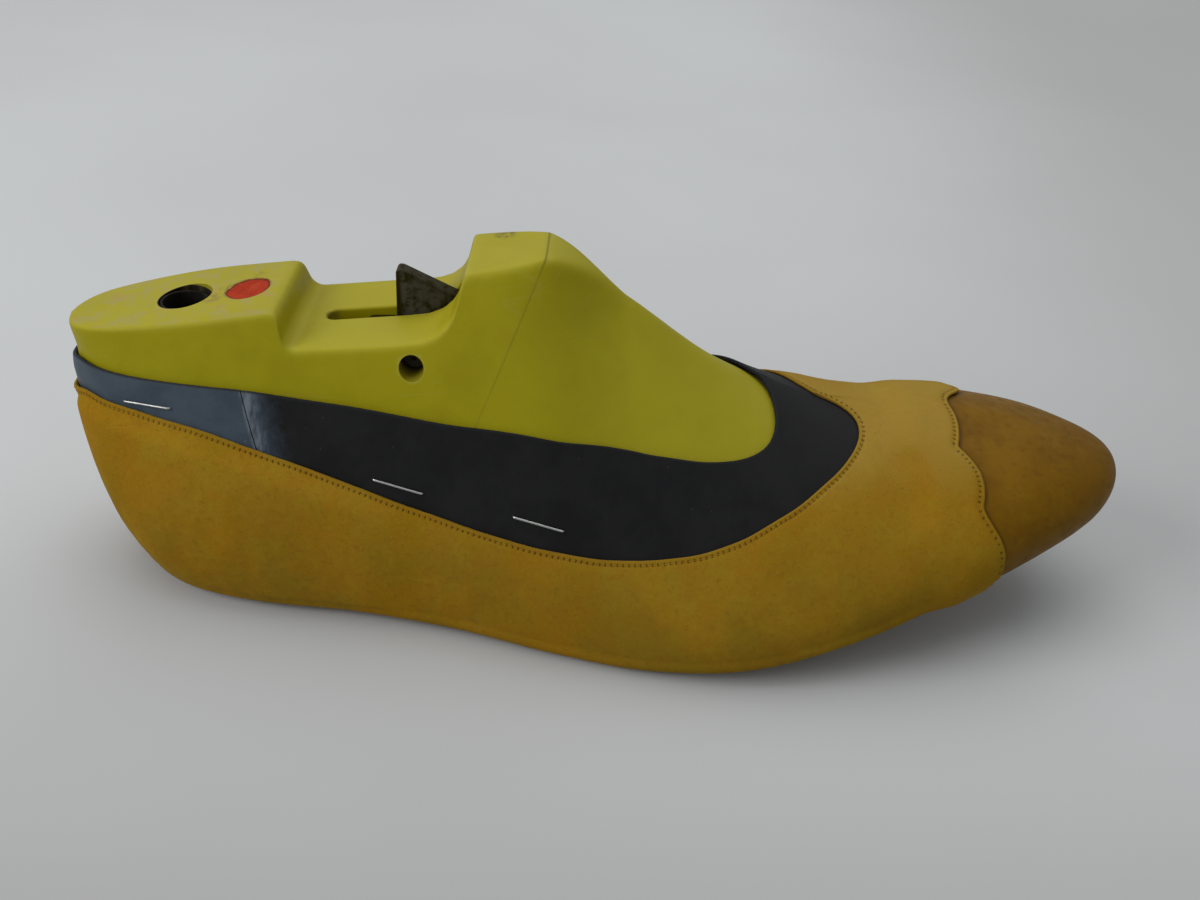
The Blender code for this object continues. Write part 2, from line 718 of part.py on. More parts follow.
def make_cutters():
    """All boolean tools, by name."""
    tools = {}
    wide = LAST_WIDTH

    def add(name, data):
        tools[name] = cutter(name, *data)

    add("cut_top", prism(top_profile(), -wide, wide))
    add("cut_forepart_side", prism(cut_side(1), -wide, wide))
    add("cut_heel_side", prism(cut_side(-1), -wide, wide))
    rear = PIVOT[0] - SLOT_REAR
    low = -PLATE_HEIGHT / 2 - RISE - PLATE_FIT
    high = PLATE_HEIGHT / 2 + PLATE_FIT
    front = PIVOT[0] + SLOT_FRONT
    back_low = uv(-PLATE_REAR - PLATE_FIT, low)
    u_front = (front + 3.0 - PLATE_MIDDLE[0] - high * ALONG[0]) / ACROSS[0]
    slot = [(rear, REACH_UP * Z_SCALE), (rear, back_low[1]), back_low, uv(90 * X_SCALE, low),
            uv(90 * X_SCALE, high), uv(u_front, high), (front + 3.0, PIVOT[1] + 3.0),
            (front, PIVOT[1] + 5.5), (front, REACH_UP * Z_SCALE)]
    half = LEVER_THICK / 2 + SLOT_PLAY
    add("cut_slot", prism(slot, -half, half))
    half = LEVER_THICK / 2 + PLATE_FIT
    end = PLATE_FRONT * X_SCALE + PLATE_FIT
    socket = [uv(0, low + RISE), uv(end, low + RISE), uv(end, high), uv(0, high)]
    add("cut_socket", prism(socket, -half, half))
    hole = LEVER_PIN_R + PIN_FIT
    add("cut_lever_pin", tube((PIVOT[0], -wide, PIVOT[1]), (0, 1, 0), hole, 2 * wide, count=28))
    hole = PIN_R + PIN_FIT
    x, z = SLIDE
    add("cut_slide_pin", tube((x, -wide, z), (0, 1, 0), hole, 2 * wide))
    for k, u in enumerate(DOWEL_PLACES):
        x, z = uv(u * X_SCALE, 0)
        add(f"cut_dowel_{k + 1}", tube((x, -wide, z), (0, 1, 0), hole, 2 * wide))
    reach = RISE / 2
    u = SLIDE_U
    a, b = uv(u, -reach), uv(u, reach)
    lean = 90 - math.degrees(CUT_ANGLE)
    track = arc(*a, hole, lean + 90, lean + 270, 13) + arc(*b, hole, lean - 90, lean + 90, 13)
    add("cut_track", prism(track, -LEVER_THICK, LEVER_THICK))
    x = THIMBLE_X * X_SCALE
    top = plate_z(x)
    long = THIMBLE_DEPTH + REACH_DOWN
    add("cut_thimble", tube((x, HEEL_AXIS_Y * Y_SCALE, top - THIMBLE_DEPTH), (0, 0, 1), THIMBLE_BORE_R, long,
                              count=32))
    x = PLUG_X * X_SCALE
    base = np.array([x, HEEL_AXIS_Y * Y_SCALE, plate_z(x)]) - PLATE_UP * PLUG_DEPTH
    add("cut_plug", tube(base, PLATE_UP, PLUG_R + FIT_GAP, PLUG_DEPTH + REACH_DOWN, count=32))
    end = np.interp(HEEL_PLATE_END * X_SCALE, station(TT, 0), TT)
    add("cut_heel_plate", pad(PLATE_INSET - FIT_GAP, end + 0.002, -REACH_DOWN,
                              HEEL_PLATE_THICK + FIT_GAP, 13, 4))
    for k, place in enumerate(NAIL_PLACES):
        p, up = bottom_up(*place)
        long = REACH_DOWN + NAIL_LENGTH + 0.5
        add(f"cut_nail_{k + 1}", tube(p - up * REACH_DOWN, up, NAIL_R + FIT_GAP, long, count=20))
    for k, place in enumerate(TACK_PLACES):
        p, up = bottom_up(*place)
        long = REACH_DOWN + TACK_LENGTH + TACK_POINT + 2 * FIT_GAP
        add(f"cut_tack_{k + 1}", tube(p - up * REACH_DOWN, up, TACK_R + FIT_GAP, long, count=16))
    for k, place in enumerate(RIVET_PLACES):
        p, up = bottom_up(*place)
        long = REACH_DOWN - FIT_GAP / 2
        add(f"cut_rivet_{k + 1}", tube(p - up * REACH_DOWN, up, RIVET_R / 2 + FIT_GAP, long, count=20))
    for name, side, ends in STAPLES:
        for k in (0, 1):
            points, faces = staple_leg(side, ends, k)
            add(f"cut_{name}_{k + 1}", (points, faces))
    return tools


def plate_z(x):
    """Height of the heel's flat top at x."""
    return (STEP_Z - HEEL_TOP_SLOPE * (STEP_X - x / X_SCALE)) * Z_SCALE


def staple_frame(side, ends):
    """Middle, direction of the crown, outward normal and cross direction of a staple."""
    t = np.array([ends[0][0], ends[1][0]])
    g = np.array([ends[0][1], ends[1][1]])
    p = skin(side, t, g, LINING_OUT, UPPER_MARGIN)
    way = p[1] - p[0]
    way /= np.linalg.norm(way)
    out = wall_normal(side, t.mean(keepdims=True), g.mean(keepdims=True))[0]
    out = out - way * out.dot(way)
    out /= np.linalg.norm(out)
    middle = skin(side, t.mean(keepdims=True), g.mean(keepdims=True), LINING_OUT, UPPER_MARGIN)[0]
    return middle, way, out, np.cross(way, out)


def block_between(frame, spans):
    """Box or outline prism in a staple's frame: spans is an outline along (way, out)."""
    middle, way, out, across = frame
    points = []
    for w in (-0.5, 0.5):
        for a, b in spans["outline"]:
            points.append(middle + way * a + out * b + across * w * spans["width"])
    n = len(spans["outline"])
    faces = [tuple(range(n)), tuple(range(2 * n - 1, n - 1, -1))]
    for i in range(n):
        j = (i + 1) % n
        faces.append((j, i, n + i, n + j))
    return np.array(points), faces


def staple_leg(side, ends, k):
    """Slit in the lining that takes one leg of a staple."""
    frame = staple_frame(side, ends)
    centre = (STAPLE_CROWN - STAPLE_WIRE) / 2 * (1 if k else -1)
    half = STAPLE_WIRE / 2 + STAPLE_FIT
    deep = STAPLE_LEG + LINING_OUT + FIT_GAP
    outline = [(centre - half, -deep), (centre + half, -deep), (centre + half, 2.0), (centre - half, 2.0)]
    return block_between(frame, {"outline": outline, "width": 2 * half})


def make_staple(name, side, ends, mat):
    """Bright wire staple: a flat crown on the lining and two legs through it."""
    half = STAPLE_CROWN / 2
    w = STAPLE_WIRE
    foot = -LINING_OUT - STAPLE_LEG
    lift = STAPLE_LIFT + crown_bow(side, ends)
    outline = [(-half, foot), (-half + w, foot), (-half + w, lift), (half - w, lift),
               (half - w, foot), (half, foot), (half, lift + w), (-half, lift + w)]
    points, faces = block_between(staple_frame(side, ends), {"outline": outline, "width": w})
    return add_mesh(name, points, faces, mat)


def crown_bow(side, ends):
    """How far the curved lining stands above the chord of a staple."""
    middle, way, out, across = staple_frame(side, ends)
    s = np.linspace(-0.1, 1.1, 25)
    t = ends[0][0] + (ends[1][0] - ends[0][0]) * s
    g = ends[0][1] + (ends[1][1] - ends[0][1]) * s
    p = skin(side, t, g, LINING_OUT, UPPER_MARGIN)
    return max(0.0, float(((p - middle) @ out).max()))


def in_heel(ends):
    """True for a staple that is driven into the heel block."""
    t = np.array([end[0] for end in ends])
    g = np.array([end[1] for end in ends])
    middle = wall(-1, t, g).mean(0)
    return middle[0] < cut_x(middle[2])


def make_blocks(tools, plastic):
    """Heel block and forepart, cut from the same loft."""
    points, faces = last_solid()
    heel = add_mesh("heel_block", points, faces, plastic)
    names = ["cut_top", "cut_forepart_side", "cut_slot", "cut_lever_pin", "cut_slide_pin",
             "cut_thimble", "cut_plug", "cut_heel_plate"]
    names += [f"cut_nail_{k + 1}" for k in range(len(NAIL_PLACES))]
    names += [f"cut_{name}_{k}" for name, side, ends in STAPLES for k in (1, 2) if in_heel(ends)]
    for name in names:
        cut(heel, tools[name])
    fore = add_mesh("forepart_block", points, faces, plastic)
    names = ["cut_heel_side", "cut_socket"]
    names += [f"cut_dowel_{k + 1}" for k in range(len(DOWEL_PLACES))]
    names += [f"cut_tack_{k + 1}" for k in range(len(TACK_PLACES))]
    names += [f"cut_{name}_{k}" for name, side, ends in STAPLES for k in (1, 2) if not in_heel(ends)]
    for name in names:
        cut(fore, tools[name])


def make_mechanism(tools, steel, dark):
    """Guide plate, its dowels, the slide pin, the lock lever and its pin."""
    half = PLATE_HEIGHT / 2
    front = PLATE_FRONT * X_SCALE
    outline = [uv(-PLATE_REAR, -half), uv(front, -half), uv(front, half), uv(-PLATE_REAR, half)]
    plate = add_mesh("guide_plate", *prism(outline, -LEVER_THICK / 2, LEVER_THICK / 2), steel)
    cut(plate, tools["cut_track"])
    for k, u in enumerate(DOWEL_PLACES):
        cut(plate, tools[f"cut_dowel_{k + 1}"])
        x, z = uv(u * X_SCALE, 0)
        reach = min(wall_y(-1, x, z), wall_y(1, x, z)) - PIN_SET
        add_mesh(f"guide_dowel_{k + 1}", *tube((x, -reach, z), (0, 1, 0), PIN_R, 2 * reach), steel)
    x, z = SLIDE
    reach = min(wall_y(-1, x, z), wall_y(1, x, z)) - PIN_SET
    add_mesh("slide_pin", *tube((x, -reach, z), (0, 1, 0), PIN_R, 2 * reach), steel)
    x, z = PIVOT
    lat = wall_y(-1, x, z) - LEVER_PIN_SET
    med = wall_y(1, x, z) - LEVER_PIN_SET
    add_mesh("lever_pin", *tube((x, -lat, z), (0, 1, 0), LEVER_PIN_R, lat + med, count=28), steel)
    outline = arc(x - LEVER_ARM, z, LEVER_NOSE_R, 90, 270, 9)
    outline += arc(x, z, LEVER_HUB_R, 216, 360, 13)
    tip = z + LEVER_RISE - LEVER_TIP_DROP
    outline += [(x + LEVER_TIP - 2.1, tip - 3.5), (x + LEVER_TIP - 0.3, tip - 0.7)]
    outline += [(x + LEVER_TIP, tip), (x + 1.6 - LEVER_REAR, z + LEVER_RISE)]
    outline += [(x + 0.6 - LEVER_REAR, z + LEVER_RISE + 0.1), (x - LEVER_REAR, z + LEVER_RISE - 0.5)]
    outline += [(x - LEVER_REAR, z + 2.0)]
    lever = add_mesh("lock_lever", *prism(outline, -LEVER_THICK / 2, LEVER_THICK / 2), dark,
                     home=(x, 0, z))
    round_edges(lever, LEVER_EDGE)
    cut(lever, cutter("cut_lever_bore", *tube((x, -LEVER_THICK, z), (0, 1, 0),
                                              LEVER_PIN_R + PIN_FIT, 2 * LEVER_THICK, count=28)))


def make_heel_fittings(tools, steel, red):
    """Thimble, size plug, heel plate and its nails."""
    x = THIMBLE_X * X_SCALE
    outer = THIMBLE_BORE_R - FIT_GAP
    length = THIMBLE_DEPTH - THIMBLE_SINK - 1.0
    base = (x, HEEL_AXIS_Y * Y_SCALE, plate_z(x) - THIMBLE_SINK - length)
    add_mesh("thimble", *tube(base, (0, 0, 1), outer, length, outer - THIMBLE_WALL, 32), steel)
    x = PLUG_X * X_SCALE
    top = np.array([x, HEEL_AXIS_Y * Y_SCALE, plate_z(x)])
    base = top - PLATE_UP * (PLUG_DEPTH - FIT_GAP)
    profile = [(0, 0), (PLUG_R, 0), (PLUG_R, PLUG_DEPTH - 0.9), (PLUG_R - 0.3, PLUG_DEPTH - 0.6)]
    profile += [(0, PLUG_DEPTH - 0.6)]
    add_mesh("size_plug", *lathe(base, PLATE_UP, profile, 32), red)
    end = np.interp(HEEL_PLATE_END * X_SCALE, station(TT, 0), TT)
    plate = add_mesh("heel_plate", *pad(PLATE_INSET, end, 0, HEEL_PLATE_THICK, 12, 4), steel)
    for k, place in enumerate(NAIL_PLACES):
        cut(plate, tools[f"cut_nail_{k + 1}"])
        p, up = bottom_up(*place)
        add_mesh(f"heel_plate_nail_{k + 1}", *tube(p + up * 0.1, up, NAIL_R, NAIL_LENGTH, count=20), steel)


def make_bottom(tools, board, steel):
    """Insole board, shank with its rivets, and the tacks that hold the insole."""
    low = -FIT_GAP - INSOLE_THICK
    insole = add_mesh("insole_board", *pad(0.2, 1.0, low, -FIT_GAP, 32, 4), board)
    shank_top = low - FIT_GAP
    shank = add_mesh("shank", *strip(SHANK_START * X_SCALE, SHANK_END * X_SCALE, SHANK_WIDTH,
                                     shank_top - SHANK_THICK, shank_top), steel)
    for k, place in enumerate(RIVET_PLACES):
        for ob in (insole, shank):
            cut(ob, tools[f"cut_rivet_{k + 1}"])
        p, up = bottom_up(*place)
        head = shank_top - SHANK_THICK - RIVET_HEAD
        r = RIVET_R / 2
        profile = [(0, head - 0.1), (1.2, head), (RIVET_R, head + 0.25), (RIVET_R, head + 0.4)]
        profile += [(r, head + 0.4), (r, -FIT_GAP - 0.1), (0, -FIT_GAP - 0.1)]
        add_mesh(f"shank_rivet_{k + 1}", *lathe(p, up, profile, 20), steel)
    for k, place in enumerate(TACK_PLACES):
        cut(insole, tools[f"cut_tack_{k + 1}"])
        p, up = bottom_up(*place)
        head = low - TACK_HEAD
        profile = [(0, head), (TACK_HEAD_R, head + 0.1), (TACK_HEAD_R, head + 0.4)]
        profile += [(TACK_R, head + 0.4), (TACK_R, TACK_LENGTH), (0, TACK_LENGTH + TACK_POINT)]
        add_mesh(f"insole_tack_{k + 1}", *lathe(p, up, profile, 16), steel)


def make_linings(tools, black, grey):
    """Grey heel lining and black vamp lining, with the slits for the staples' legs."""
    low, high = even(LINING_GAP), even(LINING_OUT)
    patches = rim_patches(LINING_TOP, 0.0, LINING_JOIN, 13, 9)
    heel = sheet("heel_lining", patches, low, high, LINING_MARGIN, grey)
    join = FIT_GAP * 2 / LAST_LENGTH
    start = LINING_JOIN + join
    patches = rim_patches(LINING_TOP, start, 0.648, 18, 10, 0.66)
    patches += closed_patches(lambda g: 0.66 - 0.012 * g, np.ones_like, 13, 10)
    vamp = sheet("vamp_lining", patches, low, high, LINING_MARGIN, black)
    for name, side, ends in STAPLES:
        ob = heel if ends[0][0] < LINING_JOIN else vamp
        for k in (1, 2):
            cut(ob, tools[f"cut_{name}_{k}"])


def make_stiffeners(buff):
    """Heel counter and toe puff between lining and upper."""
    low, high = even(STIFF_IN), even(STIFF_OUT)
    s = np.linspace(0, 1, 7)
    t = np.repeat(ring_steps(0, COUNTER_END, 15)[:, None], 7, 1)
    g = 0.02 + (edge_height(UPPER_TOP, t) - COUNTER_DROP - 0.02) * s
    sheet("heel_counter", [(-1, t, g), (1, t, g)], low, high, 0, buff)
    t = np.repeat(ring_steps(PUFF_START + 0.006, 1, 15)[:, None], 10, 1)
    g = np.broadcast_to(0.02 + 0.98 * row_steps(10), t.shape)
    sheet("toe_puff", [(-1, t, g), (1, t, g)], low, high, 0, buff)


def make_upper(suede, leather):
    """Suede upper with its scalloped front edge, lapped over the smooth toe cap."""
    patches = rim_patches(UPPER_TOP, 0.0, 0.714, 32, 10, 0.70)
    patches += closed_patches(lambda g: 0.70 + 0.014 * g, seam_place, 8, 10)
    sheet("suede_upper", patches, upper_low, upper_high, UPPER_MARGIN, suede)
    patches = closed_patches(lambda g: seam_place(g) - CAP_LAP, np.ones_like, 16, 11)
    sheet("toe_cap", patches, cap_low, cap_high, CAP_MARGIN, leather)


def centre_frame():
    """Moves the frame so that the middle of the underside's box is the origin."""
    low = np.full(3, 1e9)
    high = np.full(3, -1e9)
    for ob in PARTS.objects:
        if ob.type == "MESH":
            p = np.array([v.co[:] for v in ob.data.vertices]) + np.array(ob.location)
            low = np.minimum(low, p.min(0))
            high = np.maximum(high, p.max(0))
    FRAME.location = (-(low[0] + high[0]) / 2, -(low[1] + high[1]) / 2, -low[2])
    print("frame", [round(c, 6) for c in FRAME.location])
    print("lever pivot", round(PIVOT[0] * MM + FRAME.location[0], 6), round(PIVOT[1] * MM - low[2], 6))
    print("rise along", ALONG, "by mm", RISE)


# Places that follow from the sizes above
TT = np.linspace(0, 1, 401)
PLATE_MIDDLE = PIVOT - ALONG * (LEVER_ARM * math.sin(CUT_ANGLE) + LEVER_NOSE_R + LEVER_PLAY
                                + PLATE_HEIGHT / 2)
SLIDE_U = -4.0
SLIDE = uv(SLIDE_U, -RISE / 2)
PLATE_TILT = math.atan(HEEL_TOP_SLOPE * Z_SCALE / X_SCALE)
PLATE_UP = np.array([-math.sin(PLATE_TILT), 0, math.cos(PLATE_TILT)])
NAIL_PLACES = [(x * X_SCALE, y * Y_SCALE) for x, y in ((28, 0), (47, 11), (47, -11))]
TACK_PLACES = [(x * X_SCALE, y * Y_SCALE) for x, y in ((132, -7), (176, -3), (228, 5))]
RIVET_PLACES = [(x * X_SCALE, 0.0) for x in (48, 74)]
STAPLES = []
for side_name, side_sign in (("lateral", -1), ("medial", 1)):
    for number, place in enumerate((((0.170, 0.730), (0.212, 0.710)),
                                    ((0.345, 0.475), (0.378, 0.435)),
                                    ((0.440, 0.388), (0.472, 0.366)))):
        STAPLES.append((f"staple_{side_name}_{number + 1}", side_sign, place))


def main():
    tools = make_cutters()
    make_blocks(tools, material("yellow plastic", (0.42, 0.38, 0.035), 0.45))
    steel = material("bright steel", (0.55, 0.55, 0.53), 0.35, 1.0)
    make_mechanism(tools, steel, material("dark steel", (0.035, 0.032, 0.028), 0.45, 0.8))
    make_heel_fittings(tools, steel, material("red plastic", (0.45, 0.05, 0.02), 0.5))
    make_bottom(tools, material("insole board", (0.35, 0.24, 0.14), 0.9), steel)
    make_linings(tools, material("black lining", (0.012, 0.012, 0.012), 0.9),
                 material("grey lining", (0.045, 0.06, 0.08), 0.6))
    make_stiffeners(material("stiffener", (0.5, 0.42, 0.3), 0.9))
    make_upper(material("tan suede", (0.26, 0.13, 0.02), 0.95),
               material("brown leather", (0.16, 0.08, 0.015), 0.4))
    for name, side, ends in STAPLES:
        make_staple(name, side, ends, steel)
    centre_frame()


clear_scene()
PARTS = bpy.data.collections.new("cobbler_last")
CUTTERS = bpy.data.collections.new("cutters")
for collection in (PARTS, CUTTERS):
    bpy.context.scene.collection.children.link(collection)
FRAME = bpy.data.objects.new("last_frame", None)
PARTS.objects.link(FRAME)
main()
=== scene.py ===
import math
import bpy
import bmesh
import numpy as np
from mathutils import Matrix, Vector


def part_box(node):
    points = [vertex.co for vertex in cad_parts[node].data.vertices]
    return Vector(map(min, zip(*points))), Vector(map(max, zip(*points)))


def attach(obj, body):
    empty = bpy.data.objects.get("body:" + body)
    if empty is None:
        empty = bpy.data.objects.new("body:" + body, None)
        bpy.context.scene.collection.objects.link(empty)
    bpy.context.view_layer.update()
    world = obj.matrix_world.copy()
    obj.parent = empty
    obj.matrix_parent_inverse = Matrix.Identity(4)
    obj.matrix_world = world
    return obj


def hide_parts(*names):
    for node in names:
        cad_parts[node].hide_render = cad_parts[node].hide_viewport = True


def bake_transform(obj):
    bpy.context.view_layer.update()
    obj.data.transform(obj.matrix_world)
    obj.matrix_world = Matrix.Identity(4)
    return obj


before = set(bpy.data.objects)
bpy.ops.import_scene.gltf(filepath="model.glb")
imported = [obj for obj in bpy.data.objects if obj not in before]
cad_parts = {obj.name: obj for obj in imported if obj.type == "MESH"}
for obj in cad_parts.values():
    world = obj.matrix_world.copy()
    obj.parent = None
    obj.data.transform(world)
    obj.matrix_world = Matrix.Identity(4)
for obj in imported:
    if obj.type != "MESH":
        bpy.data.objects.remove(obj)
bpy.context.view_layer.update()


# The two plastic blocks. The last is one dense plastic casting, turned and sanded to shape, sawn apart
# on a slant between heel and forepart. Its sides are Bezier meridians between a feather edge and a top
# edge; the top is milled flat at the heel, sunk in a saddle for the lock lever, and left high at the cone.
MM = 0.001
PIVOT = np.array([87.7, 65.0])
HEEL_AXIS_Y = 1.0
pin_low, pin_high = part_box("lever_pin")
hole_low, hole_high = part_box("thimble")
HOME = np.array([(pin_low.x + pin_high.x) / 2 - PIVOT[0] * MM,
                 (hole_low.y + hole_high.y) / 2 - HEEL_AXIS_Y * MM,
                 (pin_low.z + pin_high.z) / 2 - PIVOT[1] * MM])

# Stations from heel back to toe tip, in millimetres. Feather edge: x, lateral y, medial y, lateral z,
# medial z, bulge out of each wall, bulge up. Top edge: x, y, half width, z, bulge out, bulge down.
# Sideways columns keep their slope at both ends; the others end level.
STATIONS = np.array([
    [18.0, 0.0, 0.0, 5.0, 5.0, 14.0, 14.0, 16, 2.7, 0.5, 0.0, 62.5, -4.7, 19],
    [21.5, 13.0, 13.0, 5.0, 5.0, 10.3, 10.3, 16, 5.5, 0.7, 8.0, 63.5, -3.4, 19],
    [32.0, 22.0, 22.0, 5.0, 5.0, 7, 7, 15, 15.0, 0.9, 12.6, 65.8, 1.5, 19],
    [50.0, 26.5, 26.0, 5.0, 5.5, 6, 5, 16, 34.0, 1.3, 15.0, 70.3, 6, 20],
    [75.0, 28.5, 25.5, 5.3, 7.5, 5, 4, 18, 60.0, 0.3, 14.2, 75.2, 8, 20],
    [100.0, 32.5, 22.5, 5.0, 9.0, 5, 7, 20, 87.0, 0.0, 12.5, 83.0, 10, 22],
    [125.0, 38.5, 22.5, 4.2, 7.5, 5, 9, 20, 115.0, 0.0, 8.5, 88.9, 12, 22],
    [148.0, 43.0, 29.0, 4.7, 6.0, 4, 8, 18, 136.0, 0.0, 0.0, 78.2, 12, 12],
    [171.0, 44.0, 36.0, 7.8, 8.0, 3, 5, 15, 160.0, 1.5, 0.0, 60.5, 16, 5],
    [194.0, 39.5, 38.0, 14.0, 14.0, 3, 3, 12, 185.0, 4.0, 0.0, 49.2, 20, 2],
    [218.0, 30.0, 35.0, 21.5, 21.0, 3, 3, 11, 210.0, 6.0, 0.0, 45.5, 18, 1.5],
    [240.0, 17.5, 27.5, 26.9, 26.4, 3, 3, 9.5, 231.0, 6.5, 0.0, 43.7, 14, 2.2],
    [254.5, 5.5, 16.5, 29.6, 29.8, 3, 3, 7.5, 243.5, 6.7, 0.0, 40.6, 9, 2.4],
    [259.3, -6.3, 6.3, 30.6, 30.6, 3, 3, 6.5, 249.8, 6.6, 0.0, 38.7, 6, 1.8],
])
KNOTS = np.linspace(0, 1, len(STATIONS))
SIDEWAYS = (1, 2, 10)
CUT_ANGLE = math.radians(21.8)
CUT_FOOT = 81.5
CUT_GAP = 0.012
ALONG = np.array([math.sin(CUT_ANGLE), math.cos(CUT_ANGLE)])
ACROSS = np.array([math.cos(CUT_ANGLE), -math.sin(CUT_ANGLE)])
STEP_X = 56.6
PLATE_SLOPE = 0.205
STEP_Z = 74.1
SHELF_Z = 65.6
CONE_X = 98.8
CONE_Z = 85.2
CONE_SLOPE = 0.19
HEEL_FULL = 1.1
CROWN = 1.5
UP = np.array([0, 0, 1.0])


def unit(v):
    """Vectors brought to length one."""
    return v / np.linalg.norm(v, axis=-1, keepdims=True)


def smooth(x, low, high):
    """Eases from 0 at low to 1 at high: s squared times three less two s."""
    s = np.clip((x - low) / (high - low), 0, 1)
    return s * s * (3 - 2 * s)


def station(t, column):
    """Cubic Hermite curve through one column of the stations, tangents from the neighbours."""
    v = STATIONS[:, column]
    h = KNOTS[1] - KNOTS[0]
    slope = np.diff(v) / h
    m = np.empty_like(v)
    m[1:-1] = (slope[:-1] + slope[1:]) / 2
    m[0], m[-1] = (slope[0], slope[-1]) if column in SIDEWAYS else (0, 0)
    t = np.clip(t, 0, 1)
    i = np.clip((t / h).astype(int), 0, len(v) - 2)
    s = (t - KNOTS[i]) / h
    return ((1 + 2 * s) * (1 - s) ** 2 * v[i] + s * (1 - s) ** 2 * h * m[i]
            + s * s * (3 - 2 * s) * v[i + 1] + s * s * (s - 1) * h * m[i + 1])


def fold(side, t):
    """Past the heel back or the toe tip the ring carries on down the other side."""
    t = np.asarray(t, float)
    side = np.broadcast_to(np.asarray(side, float), t.shape)
    side = np.where((t < 0) | (t > 1), -side, side)
    t = np.abs(t)
    return side, np.where(t > 1, 2 - t, t)


def feather(side, t):
    """Edge between wall and bottom of the last; side -1 is lateral, +1 medial."""
    side, t = fold(side, t)
    y = np.where(side < 0, -station(t, 1), station(t, 2))
    z = np.where(side < 0, station(t, 3), station(t, 4))
    return np.stack([station(t, 0), y, z], -1)


def top_edge(side, t):
    """Edge of the top face, or the ridge of the instep where the half width is nought."""
    side, t = fold(side, t)
    y = station(t, 9) + side * np.maximum(station(t, 10), 0)
    return np.stack([station(t, 8), y, station(t, 11)], -1)


def plan_normal(side, t):
    """Level direction that points out of the feather edge."""
    d = feather(side, t + 0.006) - feather(side, t - 0.006)
    sign = np.broadcast_to(np.asarray(side, float), np.shape(t))[..., None]
    return unit(np.stack([-d[..., 1], d[..., 0], np.zeros_like(d[..., 0])], -1) * sign)


def wall(side, t, g):
    """Bezier meridian of the last's side from the feather edge, g 0, to the top edge, g 1, a little
    fuller under the heel's top edge."""
    t, g = np.broadcast_arrays(np.asarray(t, float), np.asarray(g, float))
    low = feather(side, t)
    high = top_edge(side, t)
    n = plan_normal(side, t)
    s, tt = fold(side, t)
    out = np.where(s < 0, station(tt, 5), station(tt, 6))[..., None]
    p1 = low + n * out + UP * station(tt, 7)[..., None]
    p2 = high + n * station(tt, 12)[..., None] - UP * station(tt, 13)[..., None]
    fuller = HEEL_FULL * smooth(g, 0.66, 0.745) * (1 - smooth(g, 0.79, 0.90)) * (1 - smooth(tt, 0.03, 0.10))
    g = g[..., None]
    curve = (1 - g) ** 3 * low + 3 * g * (1 - g) ** 2 * p1 + 3 * g * g * (1 - g) * p2 + g ** 3 * high
    return curve + n * fuller[..., None]


def bottom_z(x, y):
    """Height of the last's underside: straight across between the feather edges, less a crown that
    is four w times one less w."""
    t = np.interp(x, station(np.linspace(0, 1, 401), 0), np.linspace(0, 1, 401))
    lat = station(t, 1)
    span = np.maximum(lat + station(t, 2), 1.0)
    w = np.clip((y + lat) / span, 0, 1)
    crown = CROWN * np.minimum(span / 40.0, 1.0)
    return station(t, 3) + (station(t, 4) - station(t, 3)) * w - crown * 4 * w * (1 - w)


def read_path(at, run, path):
    """Places of a path at given lengths of its run."""
    return np.stack([np.interp(at, run, path[:, k]) for k in range(path.shape[1])], -1)


def blurred(path, step, width):
    """Path resampled at an even step and averaged with a Gaussian of that width, ends held."""
    run = np.concatenate([[0], np.cumsum(np.linalg.norm(np.diff(path, axis=0), axis=1))])
    s = np.linspace(0, run[-1], int(run[-1] / step) + 2)
    even = read_path(s, run, path)
    reach = int(3 * width / s[1]) + 1
    weight = np.exp(-0.5 * (np.arange(-reach, reach + 1) * s[1] / width) ** 2)
    padded = np.pad(even, ((reach, reach), (0, 0)), mode="reflect", reflect_type="odd")
    soft = [np.convolve(padded[:, k], weight / weight.sum(), mode="valid") for k in range(path.shape[1])]
    return s, np.stack(soft, -1)


def top_height():
    """Milled outline of the top seen from the side: heel plate, step, saddle, ramp and cone."""
    step = [(-2.2, -0.45), (-1.1, -0.7), (-0.35, -1.35), (0, -2.4)]
    shelf = [(0.9, 2.6), (1.9, 1.2), (3.4, 0.5)]
    ramp = [(-3, 4.0), (2, 4.9), (5.5, 6.6), (8, 9.2), (9.4, 12.2)]
    line = [(-20, STEP_Z - PLATE_SLOPE * (STEP_X + 20))]
    for x, z, corners in ((STEP_X, STEP_Z, step), (STEP_X, SHELF_Z, shelf), (PIVOT[0], SHELF_Z, ramp)):
        line += [(x + a, z + b) for a, b in corners]
    line += [(CONE_X, CONE_Z), (150, CONE_Z + CONE_SLOPE * (150 - CONE_X)), (280, 140)]
    return blurred(np.array(line, float), 0.1, 0.55)[1]


TOP_LINE = top_height()


def top_z(x):
    """Height of the milled top at x."""
    return np.interp(x, TOP_LINE[:, 0], TOP_LINE[:, 1])


def block_columns():
    """Places along the last where its section is taken, close together at the heel back, the step
    and the ramp, and wide apart under the toe, which the upper hides."""
    back = 2.0 + 18.0 * (np.arange(24) / 24) ** 1.5
    spans = ((20, 55, 1.1), (55, 61, 0.3), (61, 90, 1.1), (90, 99, 0.45), (99, 172, 1.1), (172, 250.5, 3.2))
    parts = [np.linspace(a, b, int(round((b - a) / step)), endpoint=False) for a, b, step in spans]
    return np.concatenate([back, *parts, [250.5]])


